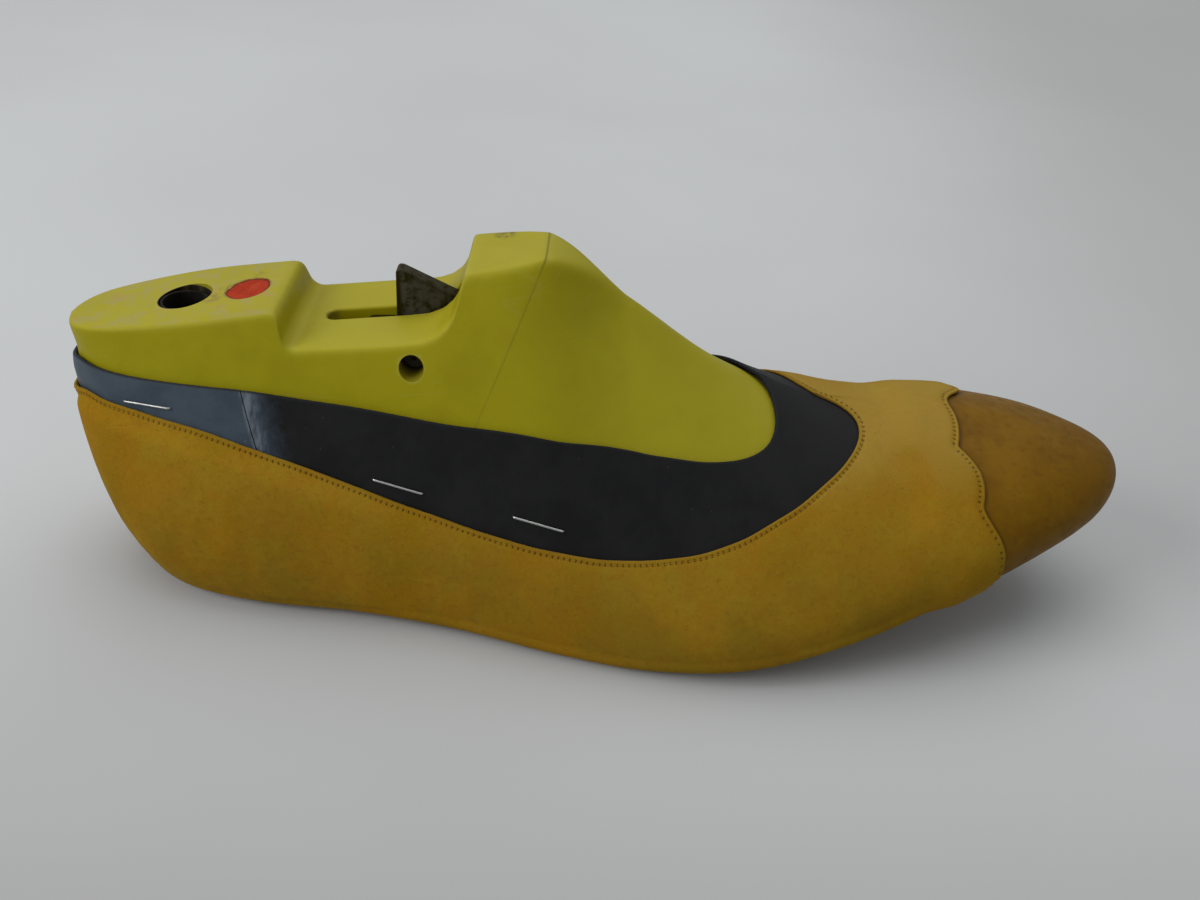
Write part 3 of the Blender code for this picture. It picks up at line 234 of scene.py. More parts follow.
def block_ring(x, walls, t_grid, side_rows=60, top_rows=11):
    """One section of the last: both walls up to the milled top and across it, with edges softened more
    at the ramp and the cone. The walls are read at one x, except near the ends, where they follow
    the station."""
    level = smooth(x, 8, 40) * (1 - smooth(x, 180, 235))
    t0 = np.interp(x, walls[-1][:, -1, 0], t_grid)
    halves = []
    for side in (-1, 1):
        w = walls[side]
        own = np.array([np.interp(t0, t_grid, w[:, j, 0]) for j in range(w.shape[1])])
        want = level * x + (1 - level) * own
        place = [np.interp(want[j], w[:, j, 0], t_grid) for j in range(w.shape[1])]
        p = np.stack([[np.interp(place[j], t_grid, w[:, j, k]) for k in range(3)]
                      for j in range(w.shape[1])])
        over = np.flatnonzero(p[:, 2] > top_z(p[:, 0]))
        if len(over) and over[0] > 0:
            j = over[0]
            a = top_z(p[j - 1, 0]) - p[j - 1, 2]
            b = p[j, 2] - top_z(p[j, 0])
            p = np.concatenate([p[:j], [p[j - 1] + (p[j] - p[j - 1]) * a / (a + b)]])
        halves.append(p)
    a, b = halves[0][-1], halves[1][-1]
    across = a + (b - a) * np.linspace(0, 1, 9)[1:-1, None]
    across[:, 2] = np.minimum(top_z(across[:, 0]), max(a[2], b[2]) if x > 100 else 1e9)
    path = np.concatenate([halves[0], across, halves[1][::-1]])
    edge_blur = 0.95 + 0.35 * smooth(x, 92, 104) + 1.5 * smooth(x, 118, 142)
    s, soft = blurred(path, 0.2, edge_blur)
    lengths = [np.linalg.norm(np.diff(h, axis=0), axis=1).sum() for h in halves]
    flat = s[-1] - sum(lengths)
    down = (np.arange(side_rows + 1) / side_rows) ** 1.5
    over = flat / 2 * (np.arange(1, top_rows + 1) / top_rows) ** 1.3
    left = np.concatenate([lengths[0] * (1 - down[::-1]), lengths[0] + over])
    right = np.concatenate([lengths[1] * (1 - down[::-1]), lengths[1] + over[:-1]])
    places = np.concatenate([left, (s[-1] - right)[::-1]])
    ring = read_path(places, s, soft)
    low, high = ring[0], ring[-1]
    w = np.linspace(1, 0, 8)[1:-1]
    under = low + (high - low) * w[:, None]
    under[:, 2] = bottom_z(under[:, 0], under[:, 1])
    return np.concatenate([ring, under])


def grid_faces(rows, columns, closed=False):
    """Quads of a grid stored row by row; closed joins the last column to the first."""
    i, j = np.meshgrid(np.arange(rows - 1), np.arange(columns if closed else columns - 1), indexing="ij")
    k = (j + 1) % columns
    faces = np.stack([i * columns + j, i * columns + k, (i + 1) * columns + k, (i + 1) * columns + j], -1)
    return faces.reshape(-1, 4)


def mesh_of(name, points, faces, merge=0.0005, recalculate=True):
    """Mesh in metres in the frame, from points in the last's own millimetres."""
    mesh = bpy.data.meshes.new(name)
    mesh.from_pydata((np.asarray(points) * MM + HOME).tolist(), [], [list(map(int, f)) for f in faces])
    bm = bmesh.new()
    bm.from_mesh(mesh)
    if merge:
        bmesh.ops.remove_doubles(bm, verts=bm.verts, dist=merge * MM)
        bmesh.ops.dissolve_degenerate(bm, edges=bm.edges, dist=merge * MM)
    if recalculate:
        bmesh.ops.recalc_face_normals(bm, faces=bm.faces)
    bm.to_mesh(mesh)
    bm.free()
    return mesh


def new_object(name, data):
    """Object that holds a mesh, a light or a camera, put into the scene."""
    ob = bpy.data.objects.new(name, data)
    bpy.context.scene.collection.objects.link(ob)
    return ob


def piece(name, mesh, mat, body, replaced=(), sharp=40):
    """Object at the origin with its finish, riding on its body and standing for its nodes."""
    ob = new_object(name, mesh)
    mesh.shade_smooth()
    mesh.set_sharp_from_angle(angle=math.radians(sharp))
    mesh.materials.clear()
    mesh.materials.append(mat)
    if body:
        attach(ob, body)
    if replaced:
        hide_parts(*replaced)
    return ob


def carved(mesh, tools):
    """Mesh less each tool, one boolean after the other."""
    ob = new_object("blank", mesh)
    made = []
    for tool in tools:
        other = new_object("tool", tool)
        made.append(other)
        mod = ob.modifiers.new("cut", "BOOLEAN")
        mod.operation = "DIFFERENCE"
        mod.solver = "MANIFOLD"
        mod.object = other
    graph = bpy.context.evaluated_depsgraph_get()
    out = bpy.data.meshes.new_from_object(ob.evaluated_get(graph))
    for other in [ob, *made]:
        bpy.data.objects.remove(other)
    return out


def prism(name, outline, y0, y1):
    """Outline in x and z drawn out along y."""
    n = len(outline)
    outline = np.asarray(outline, float)
    points = np.concatenate([np.insert(outline, 1, y0, axis=1), np.insert(outline, 1, y1, axis=1)])
    k = np.arange(n)
    sides = np.stack([k, (k + 1) % n, (k + 1) % n + n, k + n], -1)
    return mesh_of(name, points, [list(k), list(k + n)] + sides.tolist())


def turned(name, profile, base, axis, count=72):
    """Profile of (radius, height) carried round an axis; its ends lie on the axis or meet."""
    axis = unit(np.asarray(axis, float))
    side = unit(np.cross(axis, [0, 1, 0] if abs(axis[1]) < 0.9 else [1, 0, 0]))
    angle = np.arange(count) * 2 * math.pi / count
    ring = np.cos(angle)[:, None] * side + np.sin(angle)[:, None] * np.cross(axis, side)
    profile = np.asarray(profile, float)
    points = np.asarray(base, float) + ring * profile[:, None, :1] + axis * profile[:, None, 1:]
    return mesh_of(name, points.reshape(-1, 3), grid_faces(len(profile), count, closed=True))


def slot_mouth(rear, front, half, soft, floor):
    """Long slot sunk straight down from the top, round at its rear, with its rim rolled over: rings
    of one outline, each widened by a quarter circle near the surface."""
    turn = np.linspace(math.pi / 2, 3 * math.pi / 2, 17)
    runs = np.arange(rear + half, front - 0.8, 0.8)
    corner = np.linspace(-math.pi / 2, 0, 5)
    low = np.stack([runs, np.full(len(runs), -half)], -1)[1:]
    tip = np.stack([front - 0.8 + 0.8 * np.cos(corner), -half + 0.8 + 0.8 * np.sin(corner)], -1)
    back = np.stack([rear + half + half * np.cos(turn), half * np.sin(turn)], -1)
    outline = np.concatenate([back, low, tip, tip[::-1] * [1, -1], low[::-1] * [1, -1]])
    ahead = np.roll(outline, -1, 0) - np.roll(outline, 1, 0)
    normal = unit(np.stack([ahead[:, 1], -ahead[:, 0]], -1))
    fall = np.concatenate([[-6.0, -0.01], soft * (1 - np.cos(np.linspace(0.2, math.pi / 2, 6)))])
    wide = np.concatenate([[soft] * 2, soft * (1 - np.sin(np.linspace(0.2, math.pi / 2, 6)))])
    rings = []
    for drop, more in zip(fall, wide):
        p = outline + normal * more
        rings.append(np.column_stack([p, top_z(np.clip(p[:, 0], 60.5, 400)) - drop]))
    rings.append(np.column_stack([outline, np.full(len(outline), floor)]))
    n = len(outline)
    faces = grid_faces(len(rings), n, closed=True).tolist()
    faces += [list(range(n)), list(range((len(rings) - 1) * n, len(rings) * n))]
    return mesh_of("slot_mouth", np.concatenate(rings), faces)


t_grid = np.linspace(0, 1, 601)
g_grid = np.linspace(0, 1, 91)
walls = {side: wall(side, t_grid[:, None], g_grid[None, :]) for side in (-1, 1)}
rings = np.array([block_ring(x, walls, t_grid) for x in block_columns()])
blank = mesh_of("blank", rings.reshape(-1, 3), grid_faces(len(rings), rings.shape[1], closed=True))

LEVER_ARM = 12.0
RISE = LEVER_ARM * (math.sin(CUT_ANGLE + math.radians(45)) - math.sin(CUT_ANGLE))
PLATE_MIDDLE = PIVOT - ALONG * (LEVER_ARM * math.sin(CUT_ANGLE) + 1.6 + 1.2 + 8.0)
SLOT_HALF = 2.5
SLOT_REAR = PIVOT[0] - 22.9
SLOT_FRONT = PIVOT[0] + 9.9
PASSAGE_HALF = 8.35
SOCKET_LONG = 46.35
SOCKET_HALF = 2.35
PAST = 90
PIN_HOLE = 2.85
THIMBLE_X = 30.5
THIMBLE_BORE = 6.2
THIMBLE_DEPTH = 36.0
PLUG_X = 45.9
PLUG_R = 5.7
PLUG_DEPTH = 9.0
PLATE_UP = np.array([-PLATE_SLOPE, 0, 1]) / math.hypot(PLATE_SLOPE, 1)


def on_plate(u, v):
    """Place on the guide plate: u across the cut, v along it, from its middle."""
    return PLATE_MIDDLE + u * ACROSS + v * ALONG


def plate_z(x):
    """Height of the heel's flat top at x, down its slope from the step."""
    return STEP_Z - PLATE_SLOPE * (STEP_X - x)


low, high = -PASSAGE_HALF - RISE, PASSAGE_HALF
behind = -12.35
floor = on_plate(behind, low)
rear = SLOT_REAR + SLOT_HALF
above_floor = on_plate(behind, (rear - on_plate(behind, 0)[0]) / ALONG[0])
passage = [(rear, 68.5), above_floor, floor, on_plate(PAST, low), on_plate(PAST, high), on_plate(28, high)]
passage += [(SLOT_FRONT + 1, PIVOT[1] + 3), (SLOT_FRONT - 1, PIVOT[1] + 5)]
socket = [on_plate(0, low + RISE), on_plate(SOCKET_LONG, low + RISE)]
socket += [on_plate(SOCKET_LONG, high), on_plate(0, high)]
foot, crest = -40.0, 200.0


def beyond_cut(sign, gap):
    """Everything on one side of the cut: +1 is the forepart's side."""
    back = sign * gap / 2 / math.cos(CUT_ANGLE)
    edge = [(CUT_FOOT + z * math.tan(CUT_ANGLE) - back, z) for z in (foot, crest)]
    return [edge[0], (500 * sign, foot), (500 * sign, crest), edge[1]]


def rim(radius, soft=0.35):
    """Profile of the end of a drilled hole, up its wall and out over a softened rim."""
    out = radius + soft
    return [(radius, 0), (radius + soft * 0.3, soft * 0.7), (out, soft), (out + 0.4, soft + 5)]


def hole(name, x, radius, depth, axis, soft=0.35):
    """Blind hole in the heel's flat top with a softened rim."""
    top = np.array([x, HEEL_AXIS_Y, plate_z(x)])
    axis = np.asarray(axis, float)
    edge = [(r, h + depth - soft) for r, h in rim(radius, soft)]
    return turned(name, [(0, 0), (radius, 0), *edge, (0, depth + 5)], top - axis * depth, axis)


pin_bore = [(0, 0), (PIN_HOLE, 0), (PIN_HOLE, 2 * PAST), (0, 2 * PAST)]
heel_tools = [
    prism("forepart_side", beyond_cut(1, CUT_GAP), -PAST, PAST),
    slot_mouth(SLOT_REAR, SLOT_FRONT, SLOT_HALF, 0.8, floor[1]),
    prism("passage", passage, -SLOT_HALF, SLOT_HALF),
    turned("pin_hole", pin_bore, (PIVOT[0], -PAST, PIVOT[1]), (0, 1, 0)),
    hole("thimble_hole", THIMBLE_X, THIMBLE_BORE, THIMBLE_DEPTH, (0, 0, 1)),
    hole("plug_hole", PLUG_X, PLUG_R + 0.03, PLUG_DEPTH, PLATE_UP, 0.1),
]
fore_tools = [
    prism("heel_side", beyond_cut(-1, CUT_GAP), -PAST, PAST),
    prism("socket", socket, -SOCKET_HALF, SOCKET_HALF),
]
heel_mesh = carved(blank.copy(), heel_tools)
fore_mesh = carved(blank.copy(), fore_tools)


def store(mesh, name, values):
    """Keeps one number for each point of a mesh as its attribute."""
    mesh.attributes.new(name, "FLOAT", "POINT").data.foreach_set("value", np.asarray(values, np.float32))


def read(mesh, fact="co"):
    """Places of a mesh's points in metres, or their normals."""
    values = np.empty(len(mesh.vertices) * 3)
    mesh.vertices.foreach_get(fact, values)
    return values.reshape(-1, 3)


def store_bend(mesh):
    """Attribute bend: how far each point stands out of its neighbours' mean, over their spacing."""
    co, normal = read(mesh), read(mesh, "normal")
    ends = np.empty(len(mesh.edges) * 2, int)
    mesh.edges.foreach_get("vertices", ends)
    a, b = ends.reshape(-1, 2).T
    total = np.zeros_like(co)
    count = np.zeros(len(co))
    reach = np.zeros(len(co))
    for i, j in ((a, b), (b, a)):
        np.add.at(total, i, co[j])
        np.add.at(count, i, 1)
        np.add.at(reach, i, np.linalg.norm(co[i] - co[j], axis=1))
    mean = total / count[:, None]
    bend = ((co - mean) * normal).sum(1) / np.maximum(reach / count, 1e-9)
    for _ in range(2):
        soft = np.zeros(len(co))
        np.add.at(soft, a, bend[b])
        np.add.at(soft, b, bend[a])
        bend = (bend + soft / count) / 2
    store(mesh, "bend", bend)


class Nodes:
    """Shader nodes of a material or an effect, and the place that they read. A value is a socket to
    link, or numbers to set on the node's own socket."""

    def __init__(self, tree, where):
        self.tree = tree
        self.where = where

    def feed(self, socket, value):
        """Links a socket to another one, or sets it to numbers."""
        if isinstance(value, bpy.types.NodeSocket):
            self.tree.links.new(value, socket)
        else:
            socket.default_value = (*value, 1) if socket.type == "RGBA" else value

    def add(self, kind, inputs=(), **settings):
        """One shader node with its settings, fed by the names or numbers of its inputs."""
        made = self.tree.nodes.new("ShaderNode" + kind)
        for key, value in settings.items():
            setattr(made, key, value)
        for key, value in dict(inputs).items():
            self.feed(made.inputs[key], value)
        return made

    def maths(self, operation, first, *others):
        """Math node; with more than two values the operation is carried along the row."""
        made = self.add("Math", {0: first}, operation=operation)
        for k, value in enumerate(others):
            if k > 0:
                made = self.add("Math", {0: made.outputs[0]}, operation=operation)
            self.feed(made.inputs[1], value)
        return made.outputs[0]

    def times(self, *masks):
        """Product of masks and numbers."""
        return self.maths("MULTIPLY", *masks)

    def ramp(self, value, low, high, start=0.0, end=1.0):
        """Value carried smoothly from low..high to start..end."""
        inputs = {"Value": value, "From Min": low, "From Max": high, "To Min": start, "To Max": end}
        return self.add("MapRange", inputs, interpolation_type="SMOOTHSTEP").outputs[0]

    def noise(self, scale, detail=3.0, rough=0.5, stretch=None):
        """Noise with scale in features to the metre, drawn out where stretch is under 1."""
        where = self.where
        if stretch:
            where = self.add("Mapping", {"Vector": where, "Scale": stretch}).outputs[0]
        inputs = {"Vector": where, "Scale": scale, "Detail": detail, "Roughness": rough}
        return self.add("TexNoise", inputs).outputs[0]

    def use(self, effect, **inputs):
        """What a shared effect puts out for these numbers."""
        return self.add("Group", {"Vector": self.where, **inputs}, node_tree=effect).outputs[0]

    def fact(self, name):
        """One of the numbers that the piece's mesh holds at each point."""
        return self.add("Attribute", attribute_name=name).outputs["Fac"]

    def axis(self, letter):
        """One coordinate of the place."""
        return self.add("SeparateXYZ", {0: self.where}).outputs[letter]

    def facing_up(self):
        """How far the surface looks up: the upright part of its normal."""
        return self.add("SeparateXYZ", {0: self.add("NewGeometry").outputs["Normal"]}).outputs["Z"]

    def near(self, place, radius, soft, flat=None):
        """Mask that is 1 within radius of a place in the last's own millimetres and fades over soft. A
        nought in flat makes the place a line along that axis."""
        where = self.where
        point = np.asarray(place) * MM + HOME
        if flat:
            where = self.add("Mapping", {"Vector": where, "Scale": flat}).outputs[0]
            point = point * flat
        inputs = {0: where, 1: tuple(float(c) for c in point)}
        away = self.add("VectorMath", inputs, operation="DISTANCE").outputs["Value"]
        return self.ramp(away, radius * MM, (radius + soft) * MM, 1.0, 0.0)


class Finish(Nodes):
    """A material: a first colour, painted over through masks, with constants on the shader's sockets."""

    def __init__(self, name, colour, **constants):
        self.mat = bpy.data.materials.new(name)
        self.mat.use_nodes = True
        tree = self.mat.node_tree
        super().__init__(tree, tree.nodes.new("ShaderNodeTexCoord").outputs["Object"])
        self.shader = tree.nodes["Principled BSDF"]
        self.colour = colour
        for key, value in constants.items():
            self.shader.inputs[key.replace("_", " ")].default_value = value

    def paint(self, mask, colour, share=None):
        """Lays a colour over what is there, by a mask and a share of it."""
        mask = self.times(mask, share) if share else mask
        mixed = self.add("Mix", {0: mask, 6: self.colour, 7: colour}, data_type="RGBA")
        self.colour = mixed.outputs[2]

    def done(self, gloss, height, distance, strength=0.5):
        """Links colour, roughness and a bump as tall as distance, and gives the material."""
        relief = self.add("Bump", {"Height": height, "Distance": distance, "Strength": strength}).outputs[0]
        for key, value in (("Base Color", self.colour), ("Roughness", gloss), ("Normal", relief)):
            self.feed(self.shader.inputs[key], value)
        return self.mat


def new_effect(name, output, **inputs):
    """Empty shader group that reads a place and some numbers: its nodes, its inputs and its output."""
    tree = bpy.data.node_groups.new(name, "ShaderNodeTree")
    tree.interface.new_socket("Vector", in_out="INPUT", socket_type="NodeSocketVector")
    for label, value in inputs.items():
        kind = "NodeSocketFloat" if isinstance(value, float) else "NodeSocketVector"
        tree.interface.new_socket(label, in_out="INPUT", socket_type=kind).default_value = value
    tree.interface.new_socket(output, in_out="OUTPUT", socket_type="NodeSocketFloat")
    start = tree.nodes.new("NodeGroupInput").outputs
    return Nodes(tree, start["Vector"]), start, tree.nodes.new("NodeGroupOutput").inputs[0]


def mottle_effect():
    """Cloudy patches of two sizes, as dye and handling leave them."""
    n, start, end = new_effect("mottle", "Patch", Size=0.02)
    scale = n.maths("DIVIDE", 1.0, start["Size"])
    wide = n.noise(scale, 2.0)
    finer = n.noise(n.times(scale, 4.3), 4.0, 0.6)
    n.feed(end, n.ramp(n.maths("ADD", n.times(wide, 0.65), n.times(finer, 0.35)), 0.38, 0.62))
    return n.tree


def specks_effect():
    """Sparse small dots: a cell pattern kept only near its points, and only in some cells."""
    n, start, end = new_effect("specks", "Mask", Spacing=0.004, Size=0.1, Share=0.3)
    cell = n.add("TexVoronoi", {"Vector": n.where, "Scale": n.maths("DIVIDE", 1.0, start["Spacing"])}).outputs
    picked = n.add("SeparateColor", {0: cell["Color"]}).outputs[0]
    some = n.times(n.maths("LESS_THAN", picked, start["Share"]), n.maths("GREATER_THAN", picked, 0.05))
    n.feed(end, n.times(some, n.maths("LESS_THAN", cell["Distance"], start["Size"])))
    return n.tree


def scratches_effect():
    """Fine straight scratches: thin bands of a stretched noise, broken up by a coarser one."""
    n, start, end = new_effect("scratches", "Mask", Scale=60.0, Turn=(0.0, 0.0, 0.0))
    turned_place = {"Vector": n.where, "Rotation": start["Turn"], "Scale": (0.06, 1.0, 1.0)}
    drawn = n.add("Mapping", turned_place).outputs[0]
    lines = n.add("TexNoise", {"Vector": drawn, "Scale": start["Scale"], "Detail": 1.0}).outputs[0]
    band = n.maths("LESS_THAN", n.maths("ABSOLUTE", n.maths("SUBTRACT", lines, 0.5)), 0.004)
    n.feed(end, n.times(band, n.ramp(n.noise(70.0, 1.0), 0.52, 0.62)))
    return n.tree


MOTTLE = mottle_effect()
SPECKS = specks_effect()
SCRATCHES = scratches_effect()


def yellow_plastic():
    """Dense yellow plastic, satin where it was sanded, paler where it looks up by a painted highlight, paler
    along its edges where wear and a painted highlight lie on them, in painted shade along the saw cut,
    scuffed tan and grey round the holes of the heel plate, darker inside the pin's hole and near black deep
    in it and in the thimble's bore."""
    f = Finish("yellow plastic", (0.274, 0.232, 0.0015), Specular_IOR_Level=0.11)
    f.paint(f.use(MOTTLE, Size=0.03), (0.304, 0.262, 0.0025))
    f.paint(f.ramp(f.noise(75), 0.56, 0.74), (0.262, 0.195, 0.004), 0.3)
    up = f.facing_up()
    # painted highlight: faces that look up are painted paler and less yellow, standing in for the sky light
    # on them
    f.paint(f.ramp(up, 0.25, 0.7), (0.42, 0.375, 0.04), 0.25)
    milled = f.ramp(up, 0.8, 0.95)
    # a further painted highlight on the flat faces of the top; the same mask places the heel plate's scuffs
    # below
    f.paint(milled, (0.42, 0.375, 0.06), 0.15)

    square_to_cut = (float(ACROSS[0]), 0.0, float(ACROSS[1]))
    slant = f.add("VectorMath", {0: f.where, 1: square_to_cut}, operation="DOT_PRODUCT").outputs["Value"]
    at_cut = float(ACROSS @ (np.array([CUT_FOOT, 0]) * MM + HOME[[0, 2]]))
    from_cut = f.maths("ABSOLUTE", f.maths("SUBTRACT", slant, at_cut))
    # paler along the convex edges, away from the cut: partly wear, partly a painted highlight where the
    # rounded edges catch the light
    wear_and_highlight = f.times(f.ramp(f.fact("bend"), 0.035, 0.16), f.ramp(f.noise(260), 0.3, 0.6),
                   f.ramp(from_cut, 0.3 * MM, 1.2 * MM))
    f.paint(wear_and_highlight, (0.42, 0.385, 0.085), 0.30)
    # painted shade along the saw cut between the two blocks, stronger on faces that look up
    cut_shade = f.times(f.ramp(from_cut, 0.10 * MM, 0.40 * MM, 1.0, 0.0), f.ramp(up, 0.3, 0.7, 0.12, 0.65))
    f.paint(cut_shade, (0.15, 0.12, 0.015))

    step_at = float(HOME[0] + STEP_X * MM)
    behind_step = f.ramp(f.axis("X"), step_at - 4 * MM, step_at - MM, 1.0, 0.0)
    plate = f.times(f.near((26, 0, plate_z(26)), 27, 16), behind_step)
    rub = f.ramp(f.noise(240, 4.0, 0.6), 0.42, 0.68)
    grey = f.times(milled, plate, rub)
    f.paint(grey, (0.315, 0.262, 0.125), 0.5)
    f.paint(f.times(milled, plate, f.ramp(f.noise(190, 3.0, 0.55), 0.55, 0.72)), (0.36, 0.235, 0.085), 0.4)

    # darker inside the pin's hole, and near black deep in it where it runs inside the last
    in_pin_hole = f.near((PIVOT[0], 0, PIVOT[1]), PIN_HOLE + 0.02, 0.10, flat=(1.0, 0.0, 1.0))
    f.paint(in_pin_hole, (0.185, 0.145, 0.004), 0.85)
    deep = f.maths("ABSOLUTE", f.maths("SUBTRACT", f.axis("Y"), float(HOME[1])))
    f.paint(f.times(in_pin_hole, f.ramp(deep, 14.0 * MM, 18.5 * MM, 1.0, 0.0)), (0.022, 0.010, 0.005), 0.92)
    # near black on the bore's plastic wall above the thimble sleeve
    in_bore = f.near((THIMBLE_X, HEEL_AXIS_Y, 0), THIMBLE_BORE + 0.15, 0.25, flat=(1.0, 1.0, 0.0))
    f.paint(in_bore, (0.014, 0.009, 0.003))

    dirt = f.near((SLOT_REAR + 1.7, 0, SHELF_Z + 0.6), 1.4, 1.8)
    by_sleeve = ((THIMBLE_X + 7.6, -2.2, 0.4, 3.2), (THIMBLE_X + 9.4, 3.2, 0.2, 2.2))
    for x, y, radius, soft in (*by_sleeve, (PLUG_X + 1.0, 8.2, 0.3, 2.4)):
        dirt = f.maths("MAXIMUM", dirt, f.times(f.near((x, y, plate_z(x)), radius, soft), 0.5))
    dirt = f.maths("MAXIMUM", dirt, f.near((106.5, 8.5, 86.7), 0.8, 3.0))
    f.paint(f.times(dirt, f.ramp(f.noise(600), 0.34, 0.62)), (0.085, 0.060, 0.03), 0.75)
    red_rub = f.near((PLUG_X - 7.0, -2.5, plate_z(PLUG_X - 7.0)), 0.8, 3.2)
    f.paint(f.times(red_rub, rub), (0.36, 0.15, 0.05), 0.35)
    f.paint(f.use(SPECKS, Spacing=0.009, Size=0.02, Share=0.3), (0.16, 0.12, 0.02), 0.4)
    lines = f.maths("MAXIMUM", f.use(SCRATCHES, Scale=55.0, Turn=(0.3, 0.9, 0.4)),
                    f.use(SCRATCHES, Scale=70.0, Turn=(1.3, -0.5, 1.9)))
    f.paint(lines, (0.42, 0.37, 0.12), 0.05)
    gloss = f.maths("ADD", f.ramp(f.noise(130), 0.3, 0.7, 0.42, 0.54), f.times(grey, 0.15))
    height = f.maths("ADD", f.times(f.noise(170), 0.8), f.times(f.noise(1500, 2.0), 0.12))
    height = f.maths("SUBTRACT", height, f.times(lines, 0.08), f.times(grey, 0.2))
    return f.done(gloss, height, 0.00022, 0.6)


for mesh in (heel_mesh, fore_mesh):
    store_bend(mesh)
plastic = yellow_plastic()
piece("heel_block_fine", heel_mesh, plastic, "heel", ["heel_block"], sharp=32)
piece("forepart_block_fine", fore_mesh, plastic, "forepart", ["forepart_block"], sharp=32)
bpy.data.meshes.remove(blank)


# Guide plate, its two dowels, the slide pin, the heel plate and its nails: mild steel, cut from bar and
# sheet and left bright. They sit inside the last, pressed into holes that were drilled across it.
def drawn_steel(name, colour, rough, bite):
    """Steel with fine draw lines and cloudy patches where handling has dulled it."""
    f = Finish(name, colour, Metallic=1.0)
    cloud = f.use(MOTTLE, Size=0.006)
    dark = tuple(c * 0.62 for c in colour)
    lines = f.noise(900, 2.0, stretch=(0.12, 1.0, 1.0))
    f.paint(cloud, dark, 0.7)
    f.paint(f.ramp(lines, 0.5, 0.7), dark, 0.25)
    gloss = f.maths("ADD", f.times(cloud, 0.6), f.times(lines, 0.4))
    return f.done(f.ramp(gloss, 0.1, 0.9, rough - 0.08, rough + 0.16), lines, bite)


bright = drawn_steel("bright steel", (0.52, 0.52, 0.50), 0.32, 0.00004)
INSIDE = ["guide_plate", "guide_dowel_1", "guide_dowel_2", "slide_pin", "heel_plate"]
INSIDE += [f"heel_plate_nail_{k}" for k in (1, 2, 3)]


def finish_node(name, mat):
    """Gives a carried-over node its finish."""
    node = bpy.data.objects[name]
    node.data.materials.clear()
    node.data.materials.append(mat)


for name in INSIDE:
    finish_node(name, bright)


# Lock lever: a triangle of hardened steel plate, oil-blackened, its edges painted lighter by wear and a
# painted highlight. It turns on a thick cross pin driven in from the side, whose dark end shows deep in its
# hole.
def arc(centre, radius, first, finish, count):
    """Places on an arc about a centre, angles in degrees."""
    angle = np.radians(np.linspace(first, finish, count))
    return np.asarray(centre) + radius * np.stack([np.cos(angle), np.sin(angle)], -1)


def blackened_steel():
    """Blackened plate: brown-black with faint rust, lighter along its edges by wear and a painted highlight.
    """
    f = Finish("dark steel", (0.0140, 0.0108, 0.0004), Specular_IOR_Level=0.03)
    f.paint(f.ramp(f.noise(90, 2.0), 0.35, 0.65), (0.0182, 0.0140, 0.0008))
    f.paint(f.ramp(f.noise(170), 0.5, 0.75), (0.028, 0.017, 0.005), 0.25)
    fine = f.noise(500, 3.0, 0.6)
    # paler along the convex edges: wear and a painted highlight
    f.paint(f.times(f.ramp(f.fact("bend"), 0.05, 0.2), f.ramp(fine, 0.3, 0.6)), (0.10, 0.095, 0.075), 0.45)
    return f.done(f.ramp(fine, 0.3, 0.7, 0.5, 0.56), fine, 0.00001)


def bevelled(mesh, width, segments=3, angle=40):
    """Mesh with every edge sharper than the angle rolled over to a radius."""
    bm = bmesh.new()
    bm.from_mesh(mesh)
    sharp = [e for e in bm.edges if e.is_manifold and e.calc_face_angle() > math.radians(angle)]
    bmesh.ops.bevel(bm, geom=sharp, offset=width * MM, segments=segments, affect="EDGES", profile=0.5,
                    clamp_overlap=True)
    bm.to_mesh(mesh)
    bm.free()
    return mesh


LEVER_HALF = 2.0
PIN_R = 2.55
TOP = PIVOT[1] + 15.6
outline = [*arc(PIVOT - [LEVER_ARM, 0], 1.6, 90, 270, 17), *arc(PIVOT, 5.6, 216, 360, 25)]
outline += [(PIVOT[0] + 7.0, TOP - 9.7), (PIVOT[0] + 8.8, TOP - 6.9), (PIVOT[0] + 9.1, TOP - 6.2)]
outline += [(PIVOT[0] - 4.4, TOP), (PIVOT[0] - 5.4, TOP + 0.1), (PIVOT[0] - 6.0, TOP - 0.5)]
outline += [(PIVOT[0] - 6.0, PIVOT[1] + 2.0)]
lever_mesh = bevelled(prism("lever", outline, -LEVER_HALF, LEVER_HALF), 0.42)
bore_r = PIN_R + 0.3
bore = turned("bore", [(0, 0), (bore_r, 0), (bore_r, 9), (0, 9)], (PIVOT[0], -4.5, PIVOT[1]), (0, 1, 0), 64)
lever_mesh = carved(lever_mesh, [bore])
store_bend(lever_mesh)
blackened = blackened_steel()
piece("lock_lever_fine", lever_mesh, blackened, "lever", ["lock_lever"], sharp=50)

pin_lat = (HOME[1] - pin_low.y) / MM
pin_med = (pin_high.y - HOME[1]) / MM
length = pin_lat + pin_med
profile = [(0, 0.12), (0.5, 0.1), (0.6, 0), (PIN_R - 0.35, 0), (PIN_R - 0.1, 0.1), (PIN_R, 0.35)]
profile += [(PIN_R, length / 2)]
profile += [(r, length - h) for r, h in profile[::-1]]
pin_mesh = turned("lever_pin", profile, (PIVOT[0], -pin_lat, PIVOT[1]), (0, 1, 0), 64)
store_bend(pin_mesh)
piece("lever_pin_fine", pin_mesh, blackened, "heel", ["lever_pin"])


# Jack thimble and size plug: a steel sleeve sunk in the heel top for the jack's spindle, dark inside from
# years of oil, and a red plastic disc glued in flush, dished and nicked, that tells the last's size group.
def oiled_steel():
    """Steel gone brown-black with old oil, streaked along the sleeve."""
    f = Finish("oiled steel", (0.007, 0.006, 0.0045), Metallic=0.4, Specular_IOR_Level=0.2)
    streak = f.noise(260, 4.0, 0.6, stretch=(1.0, 1.0, 0.15))
    f.paint(f.ramp(streak, 0.35, 0.7), (0.020, 0.017, 0.013))
    return f.done(f.ramp(streak, 0.3, 0.7, 0.75, 0.55), streak, 0.00005)


